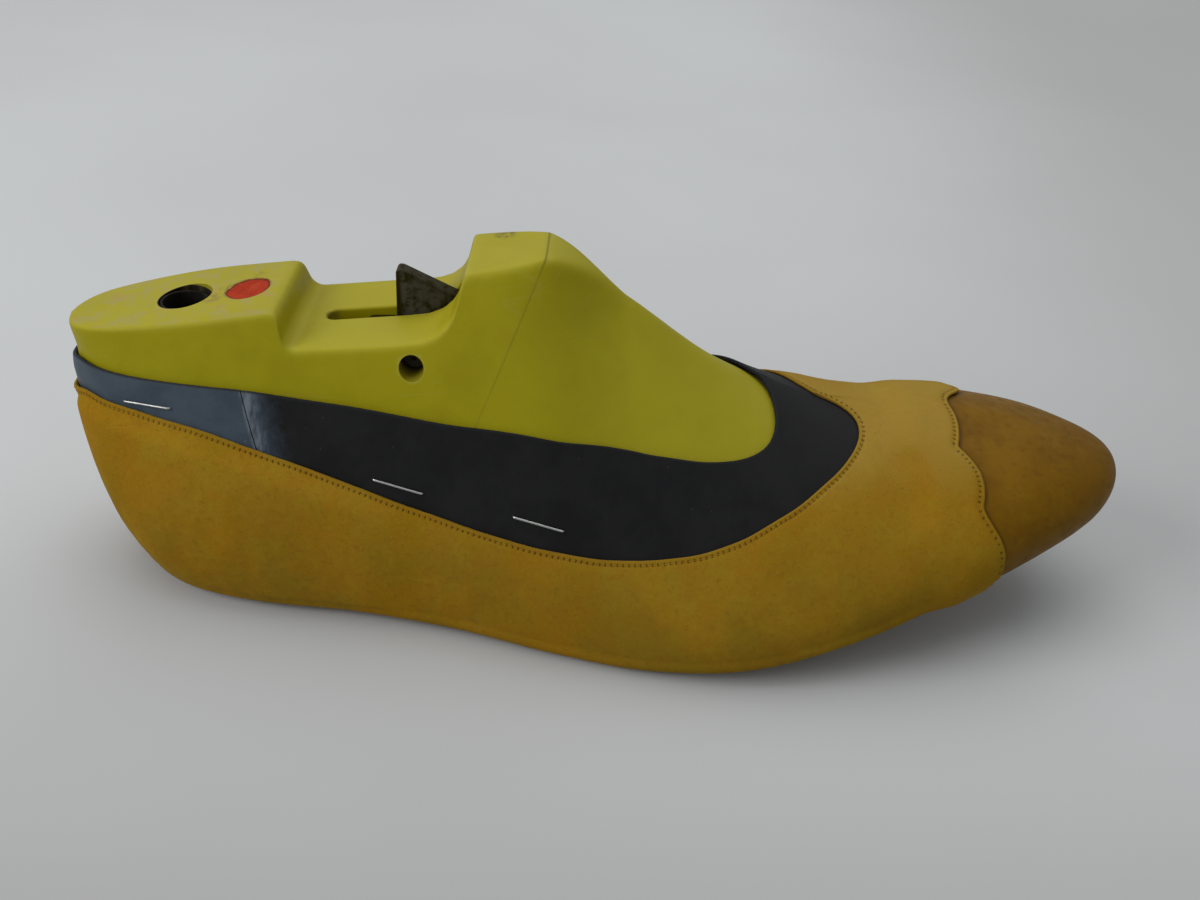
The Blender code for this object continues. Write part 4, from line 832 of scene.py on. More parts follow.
def red_plastic():
    """Soft red plastic, matt from wear, with small nicks and grime round its rim."""
    f = Finish("red plastic", (0.31, 0.020, 0.003), Specular_IOR_Level=0.1)
    f.paint(f.use(MOTTLE, Size=0.004), (0.38, 0.030, 0.005))
    fine = f.noise(900, 4.0, 0.65)
    wander = f.times(f.maths("SUBTRACT", f.noise(380, 2.0), 0.5), 0.22)
    rim_dirt = f.maths("ADD", f.fact("rim"), wander)
    grime = f.times(f.ramp(rim_dirt, 0.80, 0.89), f.ramp(fine, 0.25, 0.5))
    f.paint(grime, (0.085, 0.026, 0.010), 0.85)
    f.paint(f.ramp(rim_dirt, 0.925, 0.955), (0.33, 0.265, 0.07))
    nicks = f.use(SPECKS, Spacing=0.0021, Size=0.16, Share=0.33)
    f.paint(nicks, (0.16, 0.02, 0.01), 0.35)
    f.paint(f.ramp(f.noise(330), 0.55, 0.72), (0.45, 0.10, 0.04), 0.15)
    height = f.maths("SUBTRACT", f.times(fine, 0.6), nicks)
    return f.done(f.ramp(fine, 0.3, 0.7, 0.5, 0.7), height, 0.0001, 0.6)


SLEEVE_OUT = 5.9
SLEEVE_IN = 5.2
sleeve_top = plate_z(THIMBLE_X) - 1.2
long = THIMBLE_DEPTH - 2.2
profile = [(SLEEVE_IN, 0.2), (SLEEVE_IN + 0.2, 0), (SLEEVE_OUT - 0.2, 0), (SLEEVE_OUT, 0.2)]
profile += [(SLEEVE_OUT - r, long - h) for r, h in ((0, 0.25), (0.1, 0.08), (0.3, 0))]
profile += [(SLEEVE_IN + r, long - h) for r, h in ((0.25, 0.02), (0.06, 0.12), (0, 0.35), (0, 6))]
profile += [(SLEEVE_IN, 0.2)]
sleeve = turned("thimble", profile, (THIMBLE_X, HEEL_AXIS_Y, sleeve_top - long), (0, 0, 1), 96)
piece("thimble_fine", sleeve, oiled_steel(), "heel", ["thimble"])

face = PLUG_DEPTH - 0.55
dish = [(r, face - 0.10 * (1 - (r / PLUG_R) ** 2)) for r in np.linspace(PLUG_R - 0.8, 0, 12)]
profile = [(0, 0), (PLUG_R, 0), (PLUG_R, face + 0.12), (PLUG_R - 0.06, face + 0.18)]
profile += [(PLUG_R - 0.35, face + 0.16), (PLUG_R - 0.55, face), *dish]
base_point = np.array([PLUG_X, HEEL_AXIS_Y, plate_z(PLUG_X)]) - PLATE_UP * (PLUG_DEPTH - 0.3)
plug = turned("size_plug", profile, base_point, PLATE_UP, 80)
place = (read(plug) - HOME) / MM - base_point
store(plug, "rim", np.linalg.norm(place - np.outer(place @ PLATE_UP, PLATE_UP), axis=1) / PLUG_R)
piece("size_plug_fine", plug, red_plastic(), "heel", ["size_plug"])


# Insole board: 2 mm of pressed fibre cut to the feather edge and tacked under the last. The steel shank,
# a ribbed spring strip, is riveted under its waist. Rivets and tacks have low domed heads.
INSOLE = 2.0
GAP = 0.3


def ring_steps(start, finish, count):
    """Stations between two, up to 3.5 times closer together near the heel back and the toe tip."""
    s = np.linspace(0, 1, 400)
    t = start + (finish - start) * s
    weight = 1 + 2.5 * (np.exp(-t / 0.06) + np.exp((t - 1) / 0.05))
    run = np.concatenate([[0], np.cumsum((weight[1:] + weight[:-1]) / 2)])
    return np.interp(np.linspace(0, run[-1], count), run, t)


def two_layers(name, layers):
    """Closed mesh between two grids of the same size: the grids, and a strip round their edge."""
    rows, columns = layers[0].shape[:2]
    n = rows * columns
    quads = grid_faces(rows, columns)
    ids = np.arange(n).reshape(rows, columns)
    loop = np.concatenate([ids[:, 0], ids[-1, 1:], ids[-2::-1, -1], ids[0, -2:0:-1]])
    ahead = np.roll(loop, -1)
    sides = np.stack([loop, ahead, ahead + n, loop + n], -1)
    points = np.concatenate([layer.reshape(-1, 3) for layer in layers])
    return mesh_of(name, points, np.concatenate([quads, quads[:, ::-1] + n, sides]))


def board(name, inset, low, high, columns=150, across=40, roll=0.5):
    """Flat pad under the last, inset from the feather edge: rows go from the lateral to the medial
    edge, closer together near both, and its edges are rolled by quarter circles."""
    t = ring_steps(0.0004, 0.9996, columns)
    lat = feather(-1, t) - plan_normal(-1, t) * inset
    med = feather(1, t) - plan_normal(1, t) * inset
    half = (1 - np.cos(np.linspace(0, math.pi, across + 1))) / 2
    wide = np.linalg.norm(med - lat, axis=1)[:, None]
    w = 0.35 * half + 0.65 * np.linspace(0, 1, across + 1)
    flat = lat[:, None] * (1 - w)[None, :, None] + med[:, None] * w[None, :, None]
    away = np.minimum(np.minimum(w, 1 - w)[None] * wide, np.linspace(0, 400, columns)[:, None] + 0.01)
    away = np.minimum(away, np.linspace(400, 0, columns)[:, None] + 0.01)
    edge = np.sqrt(np.clip(1 - (1 - np.minimum(away / roll, 1)) ** 2, 0.05, 1))
    z = bottom_z(flat[..., 0], flat[..., 1])
    middle, tall = (low + high) / 2, (high - low) / 2
    off = tall - roll * 0.8 * (1 - edge)
    return two_layers(name, [np.dstack([flat[..., :2], z + middle + sign * off]) for sign in (-1, 1)])


def fibre_board():
    """Pressed fibre: tan pulp with dark and pale flecks and a faint felt side."""
    f = Finish("insole board", (0.30, 0.20, 0.115), Specular_IOR_Level=0.3)
    cloud = f.use(MOTTLE, Size=0.02)
    f.paint(cloud, (0.38, 0.27, 0.165))
    flecks = f.noise(1300, 3.0, 0.7, stretch=(0.35, 1.0, 1.0))
    f.paint(f.ramp(flecks, 0.58, 0.7), (0.16, 0.095, 0.05), 0.6)
    f.paint(f.ramp(flecks, 0.42, 0.3), (0.5, 0.4, 0.28), 0.4)
    return f.done(f.ramp(cloud, 0, 1, 0.82, 0.94), flecks, 0.00012)


def bottom_up(x, y):
    """Place on the underside and the direction square to it, by central differences."""
    xs = np.array([x, x + 2, x - 2, x, x], float)
    ys = np.array([y, y, y, y + 2, y - 2], float)
    z = bottom_z(xs, ys)
    up = np.array([(z[2] - z[1]) / 4, (z[4] - z[3]) / 4, 1.0])
    return np.array([x, y, z[0]]), unit(up)


insole = board("insole_board", 0.2, -GAP - INSOLE, -GAP)
piece("insole_board_fine", insole, fibre_board(), "forepart", ["insole_board"])

SHANK_TOP = -2 * GAP - INSOLE
SHANK_THICK = 0.9
along = np.linspace(0, 1, 120)
across = np.linspace(-1, 1, 25)
x = 38 + 84 * along
half = 4.5 * np.sqrt(np.clip(1 - np.clip(np.abs(along * 2 - 1) - 0.9, 0, 1) ** 2 * 80, 0.12, 1))
y = half[:, None] * across[None]
x = x[:, None] + 0 * y
level = bottom_z(x, np.zeros_like(x))
window = (smooth(along, 0.22, 0.3) * (1 - smooth(along, 0.82, 0.9)))[:, None]
ridges = 0.35 * window * (np.exp(-((np.abs(y) - 2.3) / 0.55) ** 2))
upper_face = level + SHANK_TOP - ridges
shank = two_layers("shank", [np.dstack([x, y, upper_face]), np.dstack([x, y, upper_face - SHANK_THICK])])
blued = drawn_steel("spring steel", (0.30, 0.31, 0.33), 0.36, 0.00005)
piece("shank_fine", shank, blued, "forepart", ["shank"])



def domed(name, places, head, radius, rise, count, stem, around):
    """Rivets or tacks: a quarter circle of points for the dome, then the stem's profile above it."""
    quarter = np.linspace(0, math.pi / 2, count)
    profile = [(radius * math.sin(a), head + rise * (1 - math.cos(a))) for a in quarter] + stem
    for k, (x, y) in enumerate(places):
        node = f"{name}_{k + 1}"
        made = turned(name, profile, *bottom_up(x, y), around)
        piece(node + "_fine", made, bright, "forepart", [node])


head = SHANK_TOP - SHANK_THICK - 0.6
stem = [(2.2, head + 0.52), (2.05, head + 0.58), (1.1, head + 0.58), (1.1, -GAP - 0.1), (0, -GAP - 0.1)]
domed("shank_rivet", ((48.0, 0.0), (74.0, 0.0)), head, 2.2, 0.42, 9, stem, 40)
head = -GAP - INSOLE - 0.6
stem = [(1.65, head + 0.5), (0.7, head + 0.56), (0.7, 7.0), (0, 8.4)]
domed("insole_tack", ((132.0, -7.0), (176.0, -3.0), (228.0, 5.0)), head, 1.7, 0.4, 8, stem, 28)


# Linings: a blue-grey satin heel lining and a black woven lining for the sides and the vamp, lasted
# first, turned 6 mm under the insole, and stapled to the last through their top edge.
HEEL_LINING_TOP = ((0.0, 0.853), (0.03, 0.856), (0.06, 0.864), (0.085, 0.868), (0.11, 0.857),
                   (0.145, 0.835), (0.20, 0.80), (0.24, 0.775), (0.268, 0.757), (0.307, 0.715),
                   (0.340, 0.680), (0.372, 0.642), (0.405, 0.607), (0.478, 0.562))
LINING_TOP = {
    -1: HEEL_LINING_TOP + ((0.547, 0.556), (0.588, 0.585), (0.620, 0.630), (0.6375, 0.680), (0.6470, 0.745),
                           (0.6505, 0.815), (0.6510, 0.880), (0.6500, 0.940), (0.6475, 0.975), (0.643, 1.0)),
    1: HEEL_LINING_TOP + ((0.522, 0.578), (0.562, 0.620), (0.588, 0.675), (0.603, 0.735), (0.613, 0.800),
                          (0.622, 0.865), (0.630, 0.930), (0.637, 0.975), (0.643, 1.0)),
}
T_SCALE = 250.0
G_SCALE = 60.0
NEAR_RIM = np.array([0, 0.06, 0.16, 0.32, 0.55, 0.85, 1.2, 1.6, 2.1, 2.8, 3.7, 4.8])
DOWN_SHARE = 0.4
EDGE_ROUND = 0.45
FAR = 1e3
MARGIN_ROWS = np.array([-2.0, -1.8, -1.6, -1.4, -1.2, -1.0, -0.85, -0.7, -0.55, -0.4, -0.2])


def wall_normal(side, t, g):
    """Unit normal of the wall, from small steps along and across it. At the toe tip the meridians
    meet, so it is read a little below their meeting point."""
    step = 0.004
    g = np.minimum(g, 1 - 0.03 * smooth(t, 0.96, 1))
    a = wall(side, t + step, g) - wall(side, t - step, g)
    b = wall(side, t, np.clip(g + step, 0, 1)) - wall(side, t, np.clip(g - step, 0, 1))
    n = np.cross(a, b) * -np.broadcast_to(np.asarray(side, float), np.shape(t))[..., None]
    return n / np.maximum(np.linalg.norm(n, axis=-1, keepdims=True), 1e-9)


def skin(side, t, g, d, margin=10.0):
    """Point at distance d off the lasted shape: g 0..1 up the wall, g -1..0 round the insole's edge
    by a quarter circle, g -2..-1 along the margin folded under the insole."""
    t, g, d = np.broadcast_arrays(np.asarray(t, float), np.asarray(g, float), np.asarray(d, float))
    high = np.clip(g, 0, 1)
    p = wall(side, t, high) + wall_normal(side, t, high) * d[..., None]
    n = plan_normal(side, t)
    edge = feather(side, t)
    drop = INSOLE + GAP
    turn = np.clip((-g - DOWN_SHARE) / (1 - DOWN_SHARE), 0, 1)[..., None] * math.pi / 2
    blend = np.clip(-g / DOWN_SHARE, 0, 1)[..., None]
    start = unit(wall_normal(side, t, np.zeros_like(t)) * (1 - blend) + n * blend)
    round_edge = edge - UP * blend * drop + (start * np.cos(turn) - UP * np.sin(turn)) * d[..., None]
    p = np.where(g[..., None] < 0, round_edge, p)
    reach = np.clip(-g - 1, 0, 1) * margin * (1 - 0.45 * smooth(t, 0.93, 1.0))
    inward = edge - n * reach[..., None]
    z = bottom_z(inward[..., 0], inward[..., 1]) - drop - d
    flat = np.concatenate([inward[..., :2], z[..., None]], -1)
    return np.where(g[..., None] < -1, flat, p)


def edge_line(table):
    """Rounded line through a table of (t, g) places, at even steps over the last."""
    scale = np.array([T_SCALE, G_SCALE])
    return blurred(np.array(table) * scale, 0.25, 2.2)[1] / scale


def lengths(p):
    """Distance run along the second-last axis of a set of paths."""
    step = np.linalg.norm(np.diff(p, axis=-2), axis=-1)
    return np.concatenate([np.zeros(step.shape[:-1] + (1,)), np.cumsum(step, -1)], -1)


def fan(side, line, bottom_end, columns, rows, lean_from=None, lean=0.0, first=0.0):
    """Grid under a topline: each column is a quadratic Bezier in (t, g) from the feather edge to the
    topline, which leans forward near the topline's front end. Rows near it keep fixed distances."""
    line = line[line[:, 0] >= first - 1e-9]
    run = lengths(skin(side, line[:, 0], line[:, 1], 0))
    even = np.linspace(0, run[-1], columns)
    top = read_path(even, run, line)
    ahead = np.maximum.accumulate(top[:, 0])
    reach = ahead + 0.8 * (ahead - top[:, 0]) + 0.04 * np.maximum(top[:, 1] - 0.6, 0) * (top[:, 0] > 0.5)
    over = smooth(reach, lean_from, reach[-1]) if lean_from else np.zeros(columns)
    foot_t = first + (reach - first) * (bottom_end - first) / (reach[-1] - first)
    bottom = np.stack([foot_t, np.zeros(columns)], -1)
    control = np.stack([(top[:, 0] + bottom[:, 0]) / 2 + over * (lean + (top[:, 0] - bottom[:, 0]) / 2),
                        top[:, 1] * (0.5 + 0.43 * over)], -1)
    s = np.linspace(0, 1, 81)[None, :, None]
    curve = (1 - s) ** 2 * bottom[:, None] + 2 * s * (1 - s) * control[:, None] + s * s * top[:, None]
    run = lengths(skin(side, curve[..., 0], curve[..., 1], 0))
    more = rows - len(NEAR_RIM)
    grid = []
    for c in range(columns):
        full = run[c, -1]
        rest = NEAR_RIM[-1] + (full - NEAR_RIM[-1]) * np.arange(1, more + 1) / more
        want = full - np.concatenate([NEAR_RIM, rest])[::-1]
        grid.append([np.interp(want, run[c], curve[c, :, k]) for k in (0, 1)])
    grid = np.array(grid)
    return grid[:, 0], np.clip(grid[:, 1], 0, 1)


def bridge(first, last, steps):
    """Grid between two columns given as (t, g): straight lines between them, at shares per row."""
    t = first[0][None] * (1 - steps) + last[0][None] * steps
    g = first[1][None] * (1 - steps) + last[1][None] * steps
    return t, g


def with_margin(t, g):
    """Adds the rows round the insole's edge and under it to a grid whose rows start at g 0."""
    more = np.broadcast_to(MARGIN_ROWS, (len(t), len(MARGIN_ROWS)))
    return np.concatenate([np.repeat(t[:, :1], len(MARGIN_ROWS), 1), t], 1), np.concatenate([more, g], 1)


def nearest(points, path, run):
    """Distance of each point from a path, and the path's run there."""
    away = np.empty(len(points))
    where = np.empty(len(points))
    for k in range(0, len(points), 4000):
        gap = np.linalg.norm(points[k:k + 4000, None] - path[None], axis=2)
        best = gap.argmin(1)
        away[k:k + 4000] = gap[np.arange(len(best)), best]
        where[k:k + 4000] = run[best]
    return away, where


def gap_to(points, path):
    """Distance of each point from a path."""
    return nearest(points, path, np.zeros(len(path)))[0]


def both(value):
    """The same for either side, lateral and medial."""
    return {-1: value, 1: value}


def lasted_sheet(name, patches, low, high, margin, rims, even_from=None, dent=None):
    """Closed sheet over the last. Its two layers stand low and high off it; patches of both sides are
    joined where they meet, the layers close together in a half round near a rim, and the
    ridge is evened out by moving each point there towards the mean of its neighbours and back. Gives
    the mesh, with its distances from the rims as attributes, and the area of the sheet."""
    layers = [[], []]
    keys, faces, side_of, t_of, g_of = [], [], [], [], []
    total = 0
    for side in (-1, 1):
        for t, g in patches[side]:
            keys.append(np.column_stack([skin(side, t, g, 0, margin).reshape(-1, 3), g.ravel() * 10]))
            quads = grid_faces(*t.shape) + total
            faces.append(quads[:, [0, 3, 2, 1]] if side < 0 else quads)
            side_of.append(np.full(t.size, side))
            t_of.append(t.ravel())
            g_of.append(g.ravel())
            total += t.size
    keys = np.concatenate(keys)
    side, t, g = np.concatenate(side_of), np.concatenate(t_of), np.concatenate(g_of)
    mark = np.round((keys + 0.0034) * 100).astype(np.int64)
    first, index = np.unique(mark, axis=0, return_index=True, return_inverse=True)[1:]
    index = index.ravel()
    faces = index[np.concatenate(faces)]
    count = len(first)
    share = np.bincount(index, minlength=count)[:, None]
    base_points = keys[first, :3]
    facts = {}
    rim_gap = np.full(count, FAR)
    for label, lines in rims.items():
        away = np.full(count, FAR)
        run_at = np.zeros(count)
        for s in (-1, 1):
            path = skin(s, lines[s][:, 0], lines[s][:, 1], 0, margin)
            a, r = nearest(base_points, path, lengths(path))
            closer = a < away
            away = np.where(closer, a, away)
            run_at = np.where(closer, r, run_at)
        facts[label] = away
        facts[label + "_run"] = run_at
        rim_gap = np.minimum(rim_gap, away)
    rim_gap = np.where(g[first] < -1.98, 0, rim_gap)
    round_off = np.sqrt(np.clip(1 - (1 - np.minimum(rim_gap / EDGE_ROUND, 1)) ** 2, 0.06, 1))
    inner, outer = low(side, t, g), high(side, t, g)
    if dent is not None:
        outer = outer - dent(side, t, g, {k: v[index] for k, v in facts.items()})
    middle, tall = (inner + outer) / 2, (outer - inner) / 2 * round_off[index]
    for layer, d in ((0, middle - tall), (1, middle + tall)):
        p = np.zeros((count, 3))
        for s in (-1, 1):
            here = side == s
            np.add.at(p, index[here], skin(s, t[here], g[here], d[here], margin))
        layers[layer] = p / share
    if even_from is not None:
        tt, gg = t[first], g[first]
        weight = smooth(gg, 0.72, 0.97) * smooth(tt, even_from, even_from + 0.03) * smooth(rim_gap, 0.2, 3.0)
        weight = np.maximum(weight, smooth(tt, 0.9, 1) * smooth(gg, 0.3, 0.8) * smooth(rim_gap, 0.2, 3.0))
        a = np.concatenate([faces[:, k] for k in range(4)])
        b = np.concatenate([faces[:, (k + 1) % 4] for k in range(4)])
        a, b = np.concatenate([a, b]), np.concatenate([b, a])
        near_count = np.bincount(a, minlength=count)[:, None]
        for step in (0.6, -0.62) * 14:
            for k in (0, 1):
                mean = np.zeros((count, 3))
                np.add.at(mean, a, layers[k][b])
                layers[k] = layers[k] + (mean / near_count - layers[k]) * (weight * step)[:, None]
    edges = np.concatenate([faces[:, [k, (k + 1) % 4]] for k in range(4)])
    code = edges[:, 0].astype(np.int64) * count + edges[:, 1]
    back = edges[:, 1].astype(np.int64) * count + edges[:, 0]
    rim_edges = edges[~np.isin(code, back)]
    sides = np.stack([rim_edges[:, 1] + count, rim_edges[:, 0] + count, rim_edges[:, 0], rim_edges[:, 1]], -1)
    solid = np.concatenate([faces + count, faces[:, ::-1], sides])
    ordered = np.sort(solid, 1)
    doubled = (ordered[:, 1:] == ordered[:, :-1]).any(1)
    triangles = [list(dict.fromkeys(f)) for f in solid[doubled].tolist() if len(set(f)) == 3]
    solid = solid[~doubled].tolist() + triangles
    mesh = mesh_of(name, np.concatenate(layers), solid, merge=0, recalculate=False)
    facts["along"] = t[first] * T_SCALE
    facts["up"] = g[first] * G_SCALE
    for label, values in facts.items():
        store(mesh, label, np.tile(values, 2))
    area = 0.5 * np.linalg.norm(np.cross(layers[1][faces[:, 2]] - layers[1][faces[:, 0]],
                                         layers[1][faces[:, 3]] - layers[1][faces[:, 1]]), axis=1).sum()
    return mesh, area * MM * MM


def even(value):
    """Distance off the last that is the same all over."""
    return lambda side, t, g: np.full(np.shape(t), value)


def lining_cloth(name, dark, light, rough, pitch, lint, start=None):
    """Plain weave, the product of two sines over the lining's own run and height, with lint and rubbed
    places. The heel's satin is rubbed white in streaks, and the black cloth is greyed by the same rubbing
    for its first few millimetres. Along its top edge a painted shade darkens it."""
    f = Finish(name, dark, Sheen_Weight=0.03, Sheen_Roughness=0.5, Specular_IOR_Level=0.14)
    along = f.fact("along")
    sway = f.times(f.noise(300, 2.0), 1.2)
    waves = [f.times(f.maths("ADD", run, sway), 2 * math.pi / pitch) for run in (along, f.fact("up"))]
    thread = f.times(*(f.maths("SINE", wave) for wave in waves))
    cloud = f.use(MOTTLE, Size=0.012)
    f.paint(cloud, light)
    f.paint(f.ramp(thread, -0.6, 0.9), light, 0.35)
    if start:
        patchy = f.times(f.maths("SUBTRACT", f.noise(420, 4.0, 0.65), 0.5), 6.0)
        f.paint(f.ramp(f.maths("ADD", along, patchy), *start, 1.0, 0.0), (0.036, 0.050, 0.070))
    f.paint(f.use(SPECKS, Spacing=0.0035, Size=0.05, Share=0.4), (0.3, 0.28, 0.22), lint)
    streak = f.times(f.ramp(f.noise(420, 3.0, 0.6, stretch=(1.0, 1.0, 0.10)), 0.36, 0.62),
                     f.ramp(along, 66.3, 67.2), f.ramp(along, 67.8, 70.4, 1.0, 0.0))
    f.paint(streak, (0.24, 0.27, 0.31), 0.5)
    # painted shade: the cloth darkens along its top edge, where it meets the plastic
    f.paint(f.ramp(f.fact("rim"), 0.15, 0.6, 1.0, 0.0), (0.008, 0.009, 0.010), 0.85)
    height = f.maths("ADD", f.times(thread, 0.5), f.times(f.noise(1800, 2.0), 0.5))
    return f.done(f.ramp(cloud, 0, 1, rough, rough + 0.1), height, 0.00006)


JOIN = 0.268
LINING_IN = 0.32
LINING_OUT = 1.3
lining_line = {side: edge_line(LINING_TOP[side]) for side in (-1, 1)}
heel_line = lining_line[1][lining_line[1][:, 0] <= JOIN]
heel_line = np.vstack([heel_line, [JOIN, np.interp(JOIN, lining_line[1][:, 0], lining_line[1][:, 1])]])
vamp_first = JOIN + 0.01 / 258
LINING_ROWS = 46
LINING_MARGIN = 6.0
lining_faces = (even(LINING_IN), even(LINING_OUT), LINING_MARGIN)

heel_grids = {side: [with_margin(*fan(side, heel_line, JOIN, 56, LINING_ROWS))] for side in (-1, 1)}
mesh, area = lasted_sheet("heel_lining", heel_grids, *lining_faces, {"rim": both(heel_line)})
satin = lining_cloth("grey lining", (0.036, 0.052, 0.070), (0.052, 0.072, 0.094), 0.42, 0.5, 0.35)
heel_lining = piece("heel_lining_fine", mesh, satin, None, ["heel_lining"], sharp=60)
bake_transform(heel_lining)

toe_g = 1 - np.linspace(1, 0, LINING_ROWS) ** 1.2
steps = np.repeat(((ring_steps(0.7, 1.0, 54) - 0.7) / 0.3)[:, None], LINING_ROWS, 1)
patches, rims = {}, {}
for side in (-1, 1):
    line = lining_line[side]
    rim_part = fan(side, line, 0.72, 96, LINING_ROWS, lean_from=0.57, lean=0.06, first=vamp_first)
    toe_part = bridge((rim_part[0][-1], rim_part[1][-1]), (np.ones(LINING_ROWS), toe_g), steps)
    patches[side] = [with_margin(*rim_part), with_margin(*toe_part)]
    rims[side] = line[line[:, 0] >= vamp_first]
mesh, area = lasted_sheet("vamp_lining", patches, *lining_faces, {"rim": rims}, even_from=0.65)
black = lining_cloth("black lining", (0.0062, 0.0062, 0.0068), (0.011, 0.011, 0.0115), 0.62, 0.55, 0.08,
                     start=(67.5, 73.5))
vamp_lining = piece("vamp_lining_fine", mesh, black, None, ["vamp_lining"], sharp=60)
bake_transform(vamp_lining)


# Staples: three bright wire staples on each side, shot through the lining's top edge into the plastic
# with a hand tacker. Each is one round wire, bent twice, and its legs puncture the lining.
STAPLE_HALF = 6.075
WIRE_R = 0.275
LEG = 4.0
BEND = 0.65
PLACES = (((0.170, 0.730), (0.212, 0.710)), ((0.345, 0.475), (0.378, 0.435)),
          ((0.440, 0.388), (0.472, 0.366)))


def staple_frame(side, ends):
    """Middle of a staple's crown, its direction, and the way out of the lining."""
    t, g = np.array(ends).T
    p = skin(side, t, g, LINING_OUT)
    way = unit(p[1] - p[0])
    out = wall_normal(side, t.mean(keepdims=True), g.mean(keepdims=True))[0]
    out = unit(out - way * out.dot(way))
    middle = skin(side, t.mean(keepdims=True), g.mean(keepdims=True), LINING_OUT)[0]
    s = np.linspace(-0.1, 1.1, 25)
    path = skin(side, t[0] + (t[1] - t[0]) * s, g[0] + (g[1] - g[0]) * s, LINING_OUT)
    return middle, way, out, max(0.0, float(((path - middle) @ out).max()))


def wire(path, across, radius, count=12):
    """Round wire along a path that lies in one plane square to across, with its ends closed."""
    out = np.cross(across, unit(np.gradient(path, axis=0)))
    angle = np.arange(count) * 2 * math.pi / count
    ring = np.cos(angle)[None, :, None] * np.broadcast_to(across, path.shape)[:, None] \
        + np.sin(angle)[None, :, None] * out[:, None]
    points = (path[:, None] + ring * radius).reshape(-1, 3)
    faces = grid_faces(len(path), count, closed=True).tolist()
    faces += [list(range(count)), list(range(len(points) - count, len(points)))]
    return points, faces


for side, label in ((-1, "lateral"), (1, "medial")):
    for k, ends in enumerate(PLACES):
        middle, way, out, bow = staple_frame(side, ends)
        top = bow + 0.15 + WIRE_R
        turn = np.linspace(0, math.pi / 2, 7)
        corner = np.column_stack([STAPLE_HALF - BEND + BEND * np.sin(turn), top - BEND + BEND * np.cos(turn)])
        foot_at = [STAPLE_HALF, -LINING_OUT - LEG]
        half_path = np.vstack([[[0.0, top], [STAPLE_HALF * 0.5, top]], corner, [foot_at]])
        flat_path = np.vstack([half_path[:0:-1] * [-1, 1], half_path])
        path = middle + flat_path[:, :1] * way + flat_path[:, 1:] * out
        points, faces = wire(path, np.cross(way, out), WIRE_R)
        body = "heel" if k < 2 else "forepart"
        node = f"staple_{label}_{k + 1}"
        piece(node + "_fine", mesh_of(node, points, faces), bright, body, [node])


# Stiffeners: a heel counter and a toe puff of buff fibre sheet, moulded between lining and upper. Nothing
# of them shows but a lip.
def stiffener_sheet():
    """Buff fibre sheet, mottled and slightly rough."""
    f = Finish("stiffener", (0.44, 0.36, 0.25), Specular_IOR_Level=0.3)
    cloud = f.use(MOTTLE, Size=0.01)
    f.paint(cloud, (0.54, 0.46, 0.34))
    flecks = f.noise(1500, 3.0, 0.7)
    f.paint(f.ramp(flecks, 0.55, 0.7), (0.3, 0.22, 0.13), 0.4)
    return f.done(f.ramp(cloud, 0, 1, 0.8, 0.95), flecks, 0.0001)


buff = stiffener_sheet()
for name in ("heel_counter", "toe_puff"):
    finish_node(name, buff)


# Upper: tan suede, cut with a scalloped front edge that laps 7 mm over the toe cap, stitched along the
# topline and the scallops, pulled over the last and folded 10 mm under the insole in small pleats.
HEEL_UPPER_TOP = ((0.0, 0.725), (0.03, 0.729), (0.06, 0.736), (0.085, 0.742), (0.105, 0.743),
                  (0.128, 0.732), (0.175, 0.705), (0.235, 0.640), (0.273, 0.565), (0.315, 0.485),
                  (0.360, 0.405), (0.408, 0.345), (0.450, 0.315))
UPPER_TOP = {
    -1: HEEL_UPPER_TOP + ((0.500, 0.303), (0.540, 0.315), (0.578, 0.350), (0.615, 0.415), (0.655, 0.520),
                          (0.689, 0.655), (0.7045, 0.745), (0.7120, 0.815), (0.7140, 0.865), (0.7135, 0.905),
                          (0.7105, 0.940), (0.7060, 0.965), (0.6985, 0.985), (0.6875, 1.0)),
    1: HEEL_UPPER_TOP + ((0.492, 0.330), (0.538, 0.385), (0.578, 0.460), (0.613, 0.555), (0.638, 0.655),
                         (0.652, 0.745), (0.660, 0.820), (0.6665, 0.880), (0.6735, 0.935), (0.6805, 0.975),
                         (0.6875, 1.0)),
}
CAP_SEAM = ((0.806, 0.0), (0.806, 0.06), (0.803, 0.18), (0.796, 0.285), (0.788, 0.375), (0.791, 0.45),
            (0.791, 0.55), (0.788, 0.65), (0.783, 0.735), (0.790, 0.855), (0.796, 0.94), (0.800, 1.0))
# The scallops in (t, g) from the ridge to the feather edge, three to each side
SCALLOPS = {
    -1: ((0.7968, 1.0), (0.7955, 0.975), (0.7943, 0.945), (0.7932, 0.915), (0.7920, 0.890), (0.7900, 0.855),
         (0.7880, 0.825), (0.7833, 0.765), (0.7787, 0.717), (0.7822, 0.690), (0.7862, 0.640), (0.7895, 0.580),
         (0.7895, 0.515), (0.7872, 0.450), (0.7845, 0.410), (0.7862, 0.370), (0.7900, 0.310), (0.7955, 0.230),
         (0.7990, 0.150), (0.7995, 0.080), (0.7990, 0.0)),
    1: ((0.7968, 1.0), (0.7960, 0.985), (0.7956, 0.965), (0.7960, 0.935), (0.7977, 0.900), (0.8010, 0.860),
        (0.8036, 0.820), (0.8046, 0.780), (0.8030, 0.730), (0.7985, 0.680), (0.7955, 0.640), (0.7975, 0.580),
        (0.7990, 0.515), (0.7975, 0.450), (0.7945, 0.410), (0.7965, 0.370), (0.8000, 0.310), (0.8035, 0.230),
        (0.8060, 0.150), (0.8065, 0.080), (0.8060, 0.0)),
}
UPPER = 1.1
STIFF_IN = 1.8
UPPER_STEP = 1.1
LAP = 0.028
COUNTER_END = 0.30
COUNTER_DROP = 0.11
PUFF_START = 0.80
LIES_CLOSER = 0.38
SKIVED = 0.42
FRONT_SKIVED = 0.35
STITCH_PULL = 0.12
FRONT_PULL = 0.10


